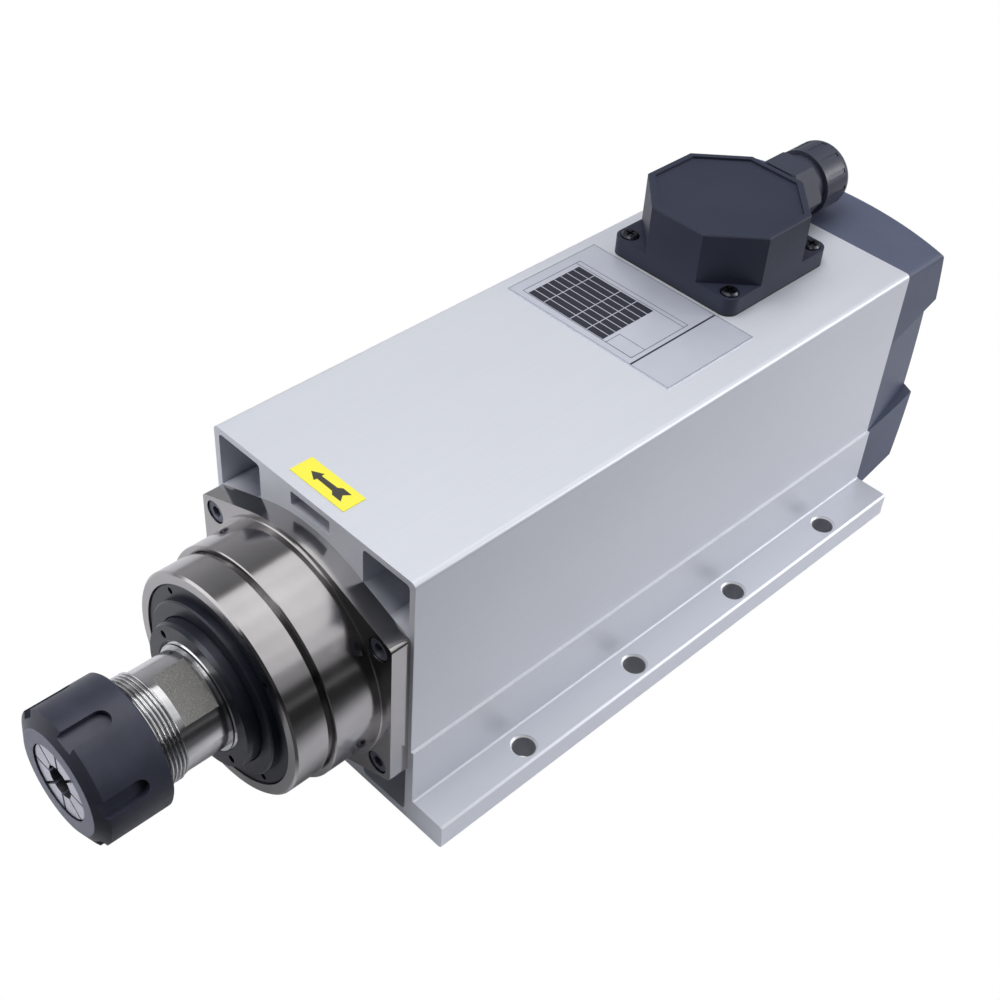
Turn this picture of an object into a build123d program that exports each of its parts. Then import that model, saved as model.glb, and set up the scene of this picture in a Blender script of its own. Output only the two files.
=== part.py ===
from build123d import *
import os
from math import cos, radians, sin, sqrt, tan

# Millimetres. X runs across, Y along the spindle axis from nose to fan, Z up.
# The origin is the middle of the foot's underside, and the nose points to -Y.

# Body section
AXIS_HEIGHT = 60.0
BODY_WIDTH = 103.3
BODY_TOP = 119.0
CORNER_RADIUS = 2.2
SKIRT_STEP = 1.25
SKIRT_WIDTH = BODY_WIDTH + 2 * SKIRT_STEP
SKIRT_HEIGHT = 38.0
FOOT_REACH = 16.85
FOOT_WIDTH = BODY_WIDTH + 2 * FOOT_REACH
FOOT_THICKNESS = 11.5
FOOT_EDGE = 0.8
FOOT_FILLET = 1.0
SIDE_WALL = 2.6
TOP_WALL = 2.5
FLOOR_WALL = 3.3
BARREL_WALL = 4.05
STATOR_BORE_R = BODY_WIDTH / 2 - SIDE_WALL - BARREL_WALL
CHANNEL_INNER_X = 26.6
CHANNEL_FILLET = 1.8
SLOT_CHANNEL_HALF_WIDTH = 10.0
SLOT_CHANNEL_HEIGHT = 6.0
SLOT_CHANNEL_FILLET = 0.8
SCREW_LAND_R = 7.6

# Holes in the foot
FOOT_HOLE_R = 4.5
FOOT_HOLE_INSET = 7.0
FOOT_HOLE_PITCH = 61.0
FOOT_HOLE_COUNT = 4
FOOT_HOLE_FIRST = 47.5
FOOT_HOLE_CHAMFER = 0.8

# Clearances
SCREW_CLEARANCE = 0.05
SPIGOT_CLEARANCE = 0.05
RUNNING_GAP = 0.4
FIT_GAP = 0.08
CONE_GAP = 0.25
BALL_GAP = 0.15
SLOT_LINER = 0.15
HEAD_CLEARANCE = 0.3

# Broken edges, overlap of joined forms, and how far a cut runs past a face
EDGE = 0.6
JOIN = 0.5
OVERCUT = 1.0
TOUCH = 0.01
HEX_SIDES = 6

# Nose and its flange
NOSE_LENGTH = 42.0
NOSE_FRONT_R = 43.0
NOSE_REAR_R = 45.0
NOSE_CHAMFER = 0.8
NOSE_EDGE = 0.35
GROOVE_START = 27.2
GROOVE_WIDTH = 1.3
GROOVE_DEPTH = 1.1
FLANGE_THICKNESS = 8.0
FLANGE_RING_R = 46.9
FLANGE_RING_HEIGHT = 1.3
FLANGE_SIDE_INSET = 1.65
FLANGE_HALF_WIDTH = BODY_WIDTH / 2 - FLANGE_SIDE_INSET
FLANGE_CROWN_DROP = 2.4
FLANGE_CROWN = FLANGE_HALF_WIDTH - FLANGE_CROWN_DROP
FLANGE_ARC_R = 63.0
FLANGE_SLOPE = 21.0
FLANGE_CORNER_R = 2.0
SPIGOT_LENGTH = 8.0
NOSE_LIP_R = 33.0

# Flange screws, M5 with socket heads
FLANGE_SCREW_INSET = 8.45
FLANGE_SCREW_X = BODY_WIDTH / 2 - FLANGE_SCREW_INSET
FLANGE_SCREW_DROP = 19.0
FLANGE_SCREW_Z = FLANGE_CROWN - FLANGE_SCREW_DROP
FLANGE_SCREW_R = 2.5
FLANGE_SCREW_LENGTH = 16.0
SCREW_HEAD_R = 4.25
SCREW_HEAD_HEIGHT = 5.0
SCREW_POCKET_R = 4.6
SCREW_POCKET_DEPTH = 5.6
SCREW_KEY = 4.0
SCREW_KEY_DEPTH = 2.5
TAPPED_DEPTH = 24.0

# Front bearings, a pair
FRONT_BEARING_BORE_R = 22.5
FRONT_BEARING_OUTER_R = 37.5
FRONT_BEARING_WIDTH = 16.0
FRONT_BALL_R = 4.9
FRONT_BALL_COUNT = 12
FRONT_BEARING_COUNT = 2
FRONT_BEARING_END = 2.5

# In every bearing: shoulder height and cage, as shares of the ball's radius
SHOULDER_SHARE = 0.6
CAGE_SHARE = 0.3
CAGE_POST_SHARE = 0.24
CAGE_POCKET_PLAY = 4 * BALL_GAP
CAGE_RING_WIDTH = 1.0

# Rear bearing
REAR_BEARING_BORE_R = 15.0
REAR_BEARING_OUTER_R = 27.5
REAR_BEARING_WIDTH = 13.0
REAR_BALL_R = 4.0
REAR_BALL_COUNT = 10
REAR_BEARING_END = 1.0

# Clamp ring and labyrinth nut in the nose
CLAMP_THREAD_R = 38.6
CLAMP_RECESS = 0.6
CLAMP_STEP_R = 33.4
CLAMP_STEP_HEIGHT = 3.0
CLAMP_SEAT_WIDTH = 2.5
CLAMP_SEAT_HEIGHT = 2.0
CLAMP_HOLE_CIRCLE_R = 35.7
CLAMP_HOLE_R = 1.3
CLAMP_HOLE_COUNT = 4
CLAMP_HOLE_ANGLE = 40.0
PIN_HOLE_DEPTH = 3.0
LABYRINTH_R = 27.5
LABYRINTH_END = 49.5
LABYRINTH_CHAMFER = 1.7
LABYRINTH_SEAT_WIDTH = 3.0
LABYRINTH_SEAT_HEIGHT = 3.0
LABYRINTH_HOLE_CIRCLE_R = 23.9
LABYRINTH_HOLE_R = 1.5
LABYRINTH_HOLE_COUNT = 2
LABYRINTH_HOLE_ANGLE = 135.0

# Shaft
SHAFT_END = 97.0
SHAFT_THREAD_CORE_R = 19.15
SHAFT_THREAD_START = 66.5
SHAFT_THREAD_R = 20.0
THREAD_LEAD_IN = 1.0
SHAFT_NECK_R = 19.0
SHAFT_COLLAR_R = 20.3
SHAFT_COLLAR_START = 50.2
SHAFT_NUT_SEAT_R = 21.0
SHAFT_SHOULDER_R = 26.0
SHAFT_SHOULDER_LENGTH = 5.0
SHAFT_MIDDLE_R = 23.0
SHAFT_ROTOR_R = 18.0
SHAFT_STEP_R = 17.0
SHAFT_FAN_R = 8.0
FLAT_DISTANCE = 16.25
FLAT_START = 51.6
FLAT_LENGTH = 13.0
FLAT_ANGLE = 66.0

# Motor
STACK_START = 48.0
STACK_LENGTH = 150.0
STACK_END = 69.6
ROTOR_R = 27.5
AIR_GAP = 0.5
STATOR_SLOT_COUNT = 24
STATOR_SLOT_WIDTH = 3.4
BACK_IRON_SHARE = 5 / 17
STATOR_SLOT_ROOT_R = STATOR_BORE_R - BACK_IRON_SHARE * (STATOR_BORE_R - ROTOR_R - AIR_GAP)
STATOR_LIP = 1.4
STATOR_SLOT_MOUTH = 1.6
END_TURN_LENGTH = 20.0
END_TURN_GAP = 1.0
END_TURN_BULGE = 3.0
ROTOR_BAR_COUNT = 28
ROTOR_BAR_WIDTH = 2.4
ROTOR_BAR_DEPTH = 6.0
ROTOR_BAR_COVER = 1.0
ROTOR_RING_LENGTH = 8.0
LEAD_R = 1.3

# Rear bearing housing and fan
REAR_PLATE_THICKNESS = 7.0
REAR_PLATE_INSET = 2.5
REAR_SPIGOT_LENGTH = 20.0
REAR_SHOULDER_R = 22.5
REAR_SPRING_THICKNESS = 1.0
REAR_SPRING_WIDTH = 3.5
REAR_SPRING_GAP = 0.3
REAR_NUT_R = 21.0
REAR_NUT_END = 6.0
REAR_NUT_NECK = 1.0
REAR_NUT_NOTCH_WIDTH = 4.0
REAR_NUT_NOTCH_DEPTH = 1.5
REAR_NUT_NOTCHES = 4
REAR_NUT_NOTCH_START = REAR_NUT_END / 3
FAN_START = 9.5
FAN_PLATE = 2.0
FAN_HUB_R = 13.0
FAN_HUB_LENGTH = 14.0
FAN_SIDE_ROOM = 11.65
FAN_R = BODY_WIDTH / 2 - FAN_SIDE_ROOM
FAN_VANE_INNER_R = 22.0
FAN_VANE_LENGTH = 13.0
FAN_VANE_THICKNESS = 1.6
FAN_VANE_COUNT = 11
FAN_VANE_SWEEP = 28.0
FAN_VANE_BEND = 0.38
FAN_SCREW_R = 2.5
FAN_SCREW_HEAD_R = 4.5
FAN_SCREW_HEAD_HEIGHT = 2.6
FAN_WASHER_R = 9.5
FAN_WASHER_THICKNESS = 1.0
FAN_SCREW_LENGTH = 14.0

# Rear cover
COVER_DEPTH = 40.4
COVER_WALL = 2.5
COVER_BOTTOM = 3.5
COVER_PLAN_R = 155.0
COVER_BACK_R = 330.0
COVER_BACK_HEIGHT = 54.0
COVER_BEVEL_HEIGHT = 5.5
COVER_BEVEL_LENGTH = 19.0
COVER_EDGE_R = 3.0
COVER_INNER_R = 0.8
RECESS_TOP = 84.3
RECESS_TOP_RISE = 14.5
RECESS_WALL_SLOPE = 1.66
RECESS_FRONT_BOTTOM = 37.0
RECESS_REAR_BOTTOM = 47.5
RECESS_SAG = 1.5
RECESS_ANGLE = 9.0
GRILLE_BORDER = 4.0
GRILLE_R = FAN_R - GRILLE_BORDER
GRILLE_PITCH = 6.0
GRILLE_SLOT = 3.2
GRILLE_HUB_R = 9.0
GRILLE_ROWS = 11
GRILLE_RIB = 3.0
COVER_SCREW_X = 20.0
COVER_SCREW_DROP = 6.6
COVER_SCREW_Z = FLANGE_CROWN - COVER_SCREW_DROP
COVER_SCREW_R = 1.75
COVER_SCREW_HEAD_R = 3.0
COVER_SCREW_HEAD_HEIGHT = 2.2
COVER_PILLAR_R = 4.4
COVER_PILLAR_FLOOR = 4.0

# Terminal box
BOX_X = -7.2
BOX_FROM_REAR = 50.8
BOX_SIDE = 62.0
BOX_SIDES = 8
BOX_CORNER_R = 5.0
BOX_LUG_HEIGHT = 7.0
BOX_HEIGHT = 29.0
BOX_WALL = 2.5
BOX_RIM_WIDTH = 2.8
BOX_RIM_HEIGHT = 1.0
BOX_EDGE = 0.5
BOX_SCREW_INSET = 5.2
BOX_SCREW_R = 1.9
BOX_SCREW_HEAD_R = 3.6
BOX_SCREW_HEAD_HEIGHT = 2.4
BOX_SCREW_LENGTH = 9.0
BOX_SCREW_SINK = 1.2
BOX_SCREW_EDGE = 0.8
CROSS_LENGTH = 4.0
CROSS_WIDTH = 0.9
CROSS_DEPTH = 1.3
GASKET_THICKNESS = 0.8
GASKET_WIDTH = 7.0
LEAD_HOLE_R = 7.0
TERMINAL_COUNT = 3
TERMINAL_PITCH = 5.0
TERMINAL_EAR = 5.0
TERMINAL_DEPTH = 10.0
TERMINAL_HEIGHT = 10.0
TERMINAL_STAND_OFF = 1.0
TERMINAL_SOCKET_DEPTH = 3.0
TERMINAL_SOCKET_GAP = 0.7
TERMINAL_SCREW_R = 1.6
TERMINAL_SCREW_HEIGHT = 1.5

# Cable gland
GLAND_HEIGHT = 15.5
GLAND_WALL_R = 9.8
GLAND_WALL_BOSS = 6.0
GLAND_WASHER_R = 12.0
GLAND_WASHER_THICKNESS = 1.4
GLAND_HEX = 26.0
GLAND_HEX_LENGTH = 12.9
GLAND_HEX_CHAMFER = 0.9
GLAND_NECK = 4.5
GLAND_THREAD_R = 12.2
GLAND_THREAD_LENGTH = 14.0
GLAND_BODY_BORE_R = 9.3
GLAND_CABLE_R = 5.5
GLAND_WAY_R = 6.0
GLAND_BOSS_WALL = 1.0
GLAND_CAP_R = 14.0
GLAND_CAP_LENGTH = 17.5
GLAND_CAP_DOME = 5.0
GLAND_CAP_MOUTH_R = 7.5
GLAND_CAP_LIP = 2.5
GLAND_CAP_CONE = 2.5
GLAND_CAP_GRIPS = 12
GLAND_GRIP_DEPTH = 0.35
GLAND_GRIP_WIDTH = 2.0
GLAND_SEAL_GAP = 0.3
GLAND_SEAT_DEPTH = 12.0

# Collet and its nut
NUT_R = 25.0
NUT_START = 76.4
NUT_END = 102.8
NUT_FACE_R = 19.5
NUT_MOUTH_R = 14.2
NUT_SHOULDER_END = 100.0
NUT_THREAD_END = 97.8
NUT_SLOT_COUNT = 6
NUT_SLOT_ANGLE = 16.0
NUT_SLOT_WIDTH = 7.0
NUT_SLOT_DEPTH = 2.6
NUT_SLOT_START = 84.6
COLLET_FACE = 102.2
COLLET_LENGTH = 40.0
COLLET_FACE_R = 13.8
COLLET_GROOVE_R = 14.6
COLLET_LARGE_R = 16.5
COLLET_HEAD = 5.4
COLLET_GROOVE_WIDTH = 2.2
COLLET_LAND = 0.4
NUT_CONE_ANGLE = 30.0
COLLET_BORE_R = 6.0
COLLET_HALF_ANGLE = 8.0
COLLET_SLOT_COUNT = 8
COLLET_SLOT_WIDTH = 1.1
COLLET_SLOT_REACH = 32.0
TOOL_BORE_R = 10.5
TOOL_BORE_DEPTH = 62.0
TOOL_BORE_CONE = 4.0
TAPER_RUNOUT = 3.0

# Labels on the top face
PLATE_THICKNESS = 0.3
NAMEPLATE_X = -4.0
NAMEPLATE_MARGIN = 20.3
NAMEPLATE_WIDTH = BODY_WIDTH - NAMEPLATE_MARGIN
NAMEPLATE_LENGTH = 49.5
NAMEPLATE_GAP = 1.5
ARROW_LABEL_X = -2.3
ARROW_LABEL_WIDTH = 27.6
ARROW_LABEL_LENGTH = 9.6
ARROW_LABEL_FROM_FRONT = 4.7

# Length of the body and the stations along the axis that the sizes above give
BODY_LENGTH = STACK_START + STACK_LENGTH + STACK_END
FRONT = -BODY_LENGTH / 2
REAR = BODY_LENGTH / 2
NOSE_TIP = FRONT - NOSE_LENGTH
FRONT_BEARINGS_END = FRONT - FRONT_BEARING_END
FRONT_BEARINGS_START = FRONT_BEARINGS_END - FRONT_BEARING_COUNT * FRONT_BEARING_WIDTH
REAR_BEARING_STOP = REAR - REAR_BEARING_END
REAR_BEARING_START = REAR_BEARING_STOP - REAR_BEARING_WIDTH
STACK_FRONT = FRONT + STACK_START
STACK_REAR = STACK_FRONT + STACK_LENGTH
FAN_FRONT = REAR + FAN_START
FAN_HUB_REAR = FAN_FRONT + FAN_HUB_LENGTH
COLLET_FRONT = FRONT - COLLET_FACE
BOX_Y = REAR - BOX_FROM_REAR
BOX_FLOOR = BODY_TOP + GASKET_THICKNESS
BOX_TOP = BODY_TOP + BOX_HEIGHT
BOX_REAR = BOX_Y + BOX_SIDE / 2
NAMEPLATE_START = BOX_Y - BOX_SIDE / 2 - NAMEPLATE_GAP - NAMEPLATE_LENGTH
ARROW_LABEL_START = FRONT + ARROW_LABEL_FROM_FRONT
GLAND_Z = BODY_TOP + GLAND_HEIGHT
GLAND_HEX_FRONT = BOX_REAR + GLAND_WASHER_THICKNESS
GLAND_HEX_REAR = GLAND_HEX_FRONT + GLAND_HEX_LENGTH
GLAND_CAP_FRONT = GLAND_HEX_REAR + GLAND_NECK
GLAND_CAP_REAR = GLAND_CAP_FRONT + GLAND_CAP_LENGTH
GLAND_THREAD_END = GLAND_HEX_REAR + GLAND_THREAD_LENGTH
GLAND_SEAT = GLAND_THREAD_END - GLAND_SEAT_DEPTH

SPINDLE_AXIS = Axis((0, 0, AXIS_HEIGHT), (0, 1, 0))
GLAND_AXIS = Axis((BOX_X, 0, GLAND_Z), (0, 1, 0))


def along_y(section, y_from, y_to):
    """Solid of a section, drawn as X and Z, between two stations of the axis."""
    return Pos(0, y_to, 0) * extrude(Plane.XZ * section, y_to - y_from)


def on_axis(section):
    """Moves a section drawn about its own centre onto the spindle axis."""
    return Pos(0, AXIS_HEIGHT) * section


def turned(points, axis=SPINDLE_AXIS):
    """Solid of revolution about an axis along Y, from (radius, y) corners."""
    x, z = axis.position.X, axis.position.Z
    corners = [(x + radius, y, z) for radius, y in points]
    return revolve(make_face(Polyline(*corners, close=True).edges()), axis)


def tube(outer_r, inner_r, y_from, y_to, axis=SPINDLE_AXIS):
    """Plain ring or sleeve between two stations."""
    return turned([(inner_r, y_from), (outer_r, y_from), (outer_r, y_to), (inner_r, y_to)], axis)


def rod(radius, y_from, y_to, x=0.0, z=AXIS_HEIGHT):
    """Round bar parallel to the spindle axis."""
    return along_y(Pos(x, z) * Circle(radius), y_from, y_to)


def post(radius, z_from, z_to, x, y):
    """Round bar standing upright."""
    return Pos(x, y, z_from) * extrude(Circle(radius), z_to - z_from)


def polar(radius, angle):
    """X and Z of a point about the spindle axis; the angle is in degrees from +X towards +Z."""
    return radius * cos(radians(angle)), AXIS_HEIGHT + radius * sin(radians(angle))


def around(count, first=0.0):
    """Equally spaced angles of a full circle."""
    return [first + index * 360 / count for index in range(count)]


def four_corners(x, z):
    """The four points at +-x and +-z about the spindle axis."""
    return [(sx * x, AXIS_HEIGHT + sz * z) for sx in (-1, 1) for sz in (-1, 1)]


def save(name, *solids):
    """Writes one node; separate solids of a group stay separate."""
    shape = solids[0] if len(solids) == 1 else Compound(children=list(solids))
    export_step(shape, f"parts/{name}.step")


def foot_hole_stations():
    """Y of the foot's holes."""
    return [FRONT + FOOT_HOLE_FIRST + index * FOOT_HOLE_PITCH for index in range(FOOT_HOLE_COUNT)]


def air_channel(side, level):
    """One corner channel of the section; side is -1 or 1 in X, level is -1 below or 1 above."""
    outer_x = BODY_WIDTH / 2 - SIDE_WALL
    outer_z = BODY_TOP - TOP_WALL if level > 0 else FLOOR_WALL
    inner_z = AXIS_HEIGHT + level * FLANGE_SCREW_Z
    width = outer_x - CHANNEL_INNER_X
    height = abs(outer_z - inner_z)
    cell = Pos((outer_x + CHANNEL_INNER_X) / 2, (outer_z + inner_z) / 2) * Rectangle(width, height)
    cell -= on_axis(Circle(STATOR_BORE_R + BARREL_WALL))
    cell -= Pos(FLANGE_SCREW_X, inner_z) * Circle(SCREW_LAND_R)
    outer_corners = [v for v in cell.vertices() if abs(v.Y - outer_z) < TOUCH]
    cell = fillet(outer_corners, CHANNEL_FILLET)
    return cell if side > 0 else mirror(cell, Plane.YZ)


def middle_channel():
    """Flat channel between the barrel and the top wall."""
    centre_z = BODY_TOP - TOP_WALL - SLOT_CHANNEL_HEIGHT / 2
    cell = Rectangle(2 * SLOT_CHANNEL_HALF_WIDTH, SLOT_CHANNEL_HEIGHT)
    cell = Pos(0, centre_z) * fillet(cell.vertices(), SLOT_CHANNEL_FILLET)
    return cell - on_axis(Circle(STATOR_BORE_R + BARREL_WALL))


def housing_section():
    """Outline of the extruded body with its bore and air channels."""
    foot = Pos(0, FOOT_THICKNESS / 2) * Rectangle(FOOT_WIDTH, FOOT_THICKNESS)
    skirt = Pos(0, SKIRT_HEIGHT / 2) * Rectangle(SKIRT_WIDTH, SKIRT_HEIGHT)
    upper = Pos(0, BODY_TOP / 2) * Rectangle(BODY_WIDTH, BODY_TOP)
    outline = foot + skirt + upper
    outline = fillet([v for v in outline.vertices() if v.Y > BODY_TOP - TOUCH], CORNER_RADIUS)
    foot_roots = [
        v for v in outline.vertices()
        if abs(abs(v.X) - SKIRT_WIDTH / 2) < TOUCH and abs(v.Y - FOOT_THICKNESS) < TOUCH
    ]
    outline = fillet(foot_roots, FOOT_FILLET)
    foot_tips = [v for v in outline.vertices() if abs(v.X) > FOOT_WIDTH / 2 - TOUCH]
    outline = chamfer(foot_tips, FOOT_EDGE)
    outline -= on_axis(Circle(STATOR_BORE_R)) + middle_channel()
    for side in (-1, 1):
        for level in (-1, 1):
            outline -= air_channel(side, level)
    return outline


def housing_extrusion():
    """Extruded body with its foot holes, tapped ends and the hole for the motor leads."""
    body = along_y(housing_section(), FRONT, REAR)
    bore_top = AXIS_HEIGHT + STATOR_BORE_R
    cuts = [post(LEAD_HOLE_R, bore_top - LEAD_HOLE_R, BODY_TOP + OVERCUT, BOX_X, BOX_Y)]
    cone = Cone(FOOT_HOLE_R, FOOT_HOLE_R + FOOT_HOLE_CHAMFER, FOOT_HOLE_CHAMFER)
    for y in foot_hole_stations():
        for x in (FOOT_HOLE_INSET - FOOT_WIDTH / 2, FOOT_WIDTH / 2 - FOOT_HOLE_INSET):
            cuts.append(post(FOOT_HOLE_R, -OVERCUT, FOOT_THICKNESS + OVERCUT, x, y))
            cuts.append(Pos(x, y, FOOT_THICKNESS - FOOT_HOLE_CHAMFER / 2) * cone)
    tapped_r = FLANGE_SCREW_R + SCREW_CLEARANCE
    for x, z in four_corners(FLANGE_SCREW_X, FLANGE_SCREW_Z):
        cuts.append(rod(tapped_r, FRONT - OVERCUT, FRONT + TAPPED_DEPTH, x, z))
        cuts.append(rod(tapped_r, REAR - TAPPED_DEPTH, REAR + OVERCUT, x, z))
    wall_inside = BODY_TOP - TOP_WALL - OVERCUT
    for x, y in box_screw_places():
        cuts.append(post(BOX_SCREW_R + SCREW_CLEARANCE, wall_inside, BODY_TOP + OVERCUT, x, y))
    return body - cuts


def flange_section(inset=0.0):
    """Flat-sided flange outline with a crowned top and bottom, centred on the axis."""
    half_width = FLANGE_HALF_WIDTH - inset
    crown = FLANGE_CROWN - inset
    slope = radians(FLANGE_SLOPE)
    arc_centre = crown - FLANGE_ARC_R
    tangent_x = FLANGE_ARC_R * sin(slope)
    tangent_z = arc_centre + FLANGE_ARC_R * cos(slope)
    side_z = tangent_z - (half_width - tangent_x) * tan(slope)
    edges = []
    for up in (-1, 1):
        ends = [(side * tangent_x, up * tangent_z) for side in (-1, 1)]
        edges.append(ThreePointArc(ends[0], (0, up * crown), ends[1]))
        for side in (-1, 1):
            edges.append(Line((side * tangent_x, up * tangent_z), (side * half_width, up * side_z)))
    for side in (-1, 1):
        edges.append(Line((side * half_width, -side_z), (side * half_width, side_z)))
    face = make_face(edges)
    corners = [v for v in face.vertices() if abs(v.X) > half_width - TOUCH]
    return on_axis(fillet(corners, FLANGE_CORNER_R))


def front_bearing_housing():
    """Steel nose: flange, bearing bore and the threaded opening for the clamp ring."""
    groove_r = NOSE_FRONT_R - GROOVE_DEPTH
    ring_front = FRONT - FLANGE_THICKNESS - FLANGE_RING_HEIGHT
    groove_front = FRONT - GROOVE_START - GROOVE_WIDTH
    groove_rear = FRONT - GROOVE_START
    outline = [
        (CLAMP_THREAD_R, NOSE_TIP),
        (NOSE_FRONT_R - NOSE_CHAMFER, NOSE_TIP),
        (NOSE_FRONT_R, NOSE_TIP + NOSE_CHAMFER),
        (NOSE_FRONT_R, groove_front - NOSE_EDGE),
        (NOSE_FRONT_R - NOSE_EDGE, groove_front),
        (groove_r, groove_front),
        (groove_r, groove_rear),
        (NOSE_REAR_R - NOSE_EDGE, groove_rear),
        (NOSE_REAR_R, groove_rear + NOSE_EDGE),
        (NOSE_REAR_R, ring_front),
        (FLANGE_RING_R - NOSE_EDGE, ring_front),
        (FLANGE_RING_R, ring_front + NOSE_EDGE),
        (FLANGE_RING_R, FRONT),
        (STATOR_BORE_R - SPIGOT_CLEARANCE, FRONT),
        (STATOR_BORE_R - SPIGOT_CLEARANCE, FRONT + SPIGOT_LENGTH),
        (NOSE_LIP_R, FRONT + SPIGOT_LENGTH),
        (NOSE_LIP_R, FRONT_BEARINGS_END),
        (FRONT_BEARING_OUTER_R, FRONT_BEARINGS_END),
        (FRONT_BEARING_OUTER_R, FRONT_BEARINGS_START),
        (CLAMP_THREAD_R, FRONT_BEARINGS_START),
    ]
    ring_hole = on_axis(Circle((FRONT_BEARING_OUTER_R + STATOR_BORE_R) / 2))
    flange = along_y(flange_section() - ring_hole, FRONT - FLANGE_THICKNESS, FRONT)
    pocket_end = FRONT - FLANGE_THICKNESS + SCREW_POCKET_DEPTH
    cuts = []
    for x, z in four_corners(FLANGE_SCREW_X, FLANGE_SCREW_Z):
        cuts.append(rod(SCREW_POCKET_R, FRONT - FLANGE_THICKNESS - OVERCUT, pocket_end, x, z))
        cuts.append(rod(FLANGE_SCREW_R + SCREW_CLEARANCE, pocket_end - OVERCUT, FRONT + OVERCUT, x, z))
    return turned(outline) + flange - cuts


def socket_screw(head_y, x, z, length):
    """Socket-head screw pointing to +Y, with its head's underside at head_y."""
    head = rod(SCREW_HEAD_R, head_y - SCREW_HEAD_HEIGHT, head_y, x, z)
    shank = rod(FLANGE_SCREW_R, head_y - JOIN, head_y + length, x, z)
    key_section = Pos(x, z) * RegularPolygon(SCREW_KEY / 2, HEX_SIDES, major_radius=False)
    top = head_y - SCREW_HEAD_HEIGHT
    return head + shank - along_y(key_section, top - OVERCUT, top + SCREW_KEY_DEPTH)


def flange_screws():
    """Four screws sunk in the corners of the nose flange."""
    seat = FRONT - FLANGE_THICKNESS + SCREW_POCKET_DEPTH
    places = four_corners(FLANGE_SCREW_X, FLANGE_SCREW_Z)
    return [socket_screw(seat, x, z, FLANGE_SCREW_LENGTH) for x, z in places]


def pin_holes(circle_r, hole_r, count, angle, face_y):
    """Blind spanner holes in a front face."""
    places = [polar(circle_r, turn) for turn in around(count, angle)]
    return [rod(hole_r, face_y - OVERCUT, face_y + PIN_HOLE_DEPTH, x, z) for x, z in places]


def front_clamp_ring():
    """Stepped ring screwed into the nose against the bearings' outer rings."""
    rim = NOSE_TIP + CLAMP_RECESS
    step = NOSE_TIP - CLAMP_STEP_HEIGHT + CLAMP_RECESS
    bore_r = LABYRINTH_R + RUNNING_GAP
    seat_r = FRONT_BEARING_OUTER_R - CLAMP_SEAT_WIDTH
    seat_start = FRONT_BEARINGS_START - CLAMP_SEAT_HEIGHT
    outline = [
        (bore_r, step),
        (CLAMP_STEP_R - EDGE, step),
        (CLAMP_STEP_R, step + EDGE),
        (CLAMP_STEP_R, rim),
        (CLAMP_THREAD_R - EDGE, rim),
        (CLAMP_THREAD_R, rim + EDGE),
        (CLAMP_THREAD_R, FRONT_BEARINGS_START),
        (seat_r, FRONT_BEARINGS_START),
        (seat_r, seat_start),
        (bore_r, seat_start),
    ]
    holes = pin_holes(CLAMP_HOLE_CIRCLE_R, CLAMP_HOLE_R, CLAMP_HOLE_COUNT, CLAMP_HOLE_ANGLE, rim)
    return turned(outline) - holes


def labyrinth_nut():
    """Nut on the shaft that clamps the bearings' inner rings and turns in the clamp ring."""
    face = FRONT - LABYRINTH_END
    seat_r = FRONT_BEARING_BORE_R + LABYRINTH_SEAT_WIDTH
    seat_start = FRONT_BEARINGS_START - LABYRINTH_SEAT_HEIGHT
    outline = [
        (SHAFT_NUT_SEAT_R + EDGE, face),
        (LABYRINTH_R - EDGE, face),
        (LABYRINTH_R, face + LABYRINTH_CHAMFER),
        (LABYRINTH_R, seat_start),
        (seat_r, seat_start),
        (seat_r, FRONT_BEARINGS_START),
        (SHAFT_NUT_SEAT_R, FRONT_BEARINGS_START),
        (SHAFT_NUT_SEAT_R, face + EDGE),
    ]
    holes = pin_holes(
        LABYRINTH_HOLE_CIRCLE_R, LABYRINTH_HOLE_R, LABYRINTH_HOLE_COUNT, LABYRINTH_HOLE_ANGLE, face
    )
    return turned(outline) - holes


def bearing_ring(radius, shoulder_r, groove_r, pitch_r, y_from, width):
    """Inner or outer ring between its seat radius and its shoulder, with the ball groove."""
    ring = tube(max(radius, shoulder_r), min(radius, shoulder_r), y_from, y_from + width)
    circle = Pos(pitch_r, y_from + width / 2, AXIS_HEIGHT) * Circle(groove_r)
    return ring - revolve(circle, SPINDLE_AXIS)


def bearing_rings(bore_r, outer_r, width, ball_r, y_from):
    """Outer and inner ring of one ball bearing."""
    pitch_r = (bore_r + outer_r) / 2
    groove_r = ball_r + BALL_GAP
    outer = bearing_ring(outer_r, pitch_r + SHOULDER_SHARE * ball_r, groove_r, pitch_r, y_from, width)
    inner = bearing_ring(bore_r, pitch_r - SHOULDER_SHARE * ball_r, groove_r, pitch_r, y_from, width)
    return outer, inner


def bearing_balls(bore_r, outer_r, width, ball_r, count, y_from):
    """Balls of one bearing."""
    pitch_r = (bore_r + outer_r) / 2
    places = [polar(pitch_r, angle) for angle in around(count)]
    return [Pos(x, y_from + width / 2, z) * Sphere(ball_r) for x, z in places]


def ball_cage(bore_r, outer_r, width, ball_r, count, y_from):
    """Two thin rings joined by a post between each pair of balls."""
    pitch_r = (bore_r + outer_r) / 2
    half = CAGE_SHARE * ball_r
    middle = y_from + width / 2
    reach = ball_r + BALL_GAP
    cage = tube(pitch_r + half, pitch_r - half, middle - reach - CAGE_RING_WIDTH, middle - reach)
    cage += tube(pitch_r + half, pitch_r - half, middle + reach, middle + reach + CAGE_RING_WIDTH)
    gap = 2 * pitch_r * sin(radians(180 / count)) - 2 * ball_r
    bar = Pos(pitch_r, 0) * Rectangle(2 * CAGE_POST_SHARE * ball_r, gap - CAGE_POCKET_PLAY)
    for angle in around(count, 180 / count):
        cage += along_y(on_axis(Rot(0, 0, angle) * bar), middle - reach - JOIN, middle + reach + JOIN)
    return cage


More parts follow.
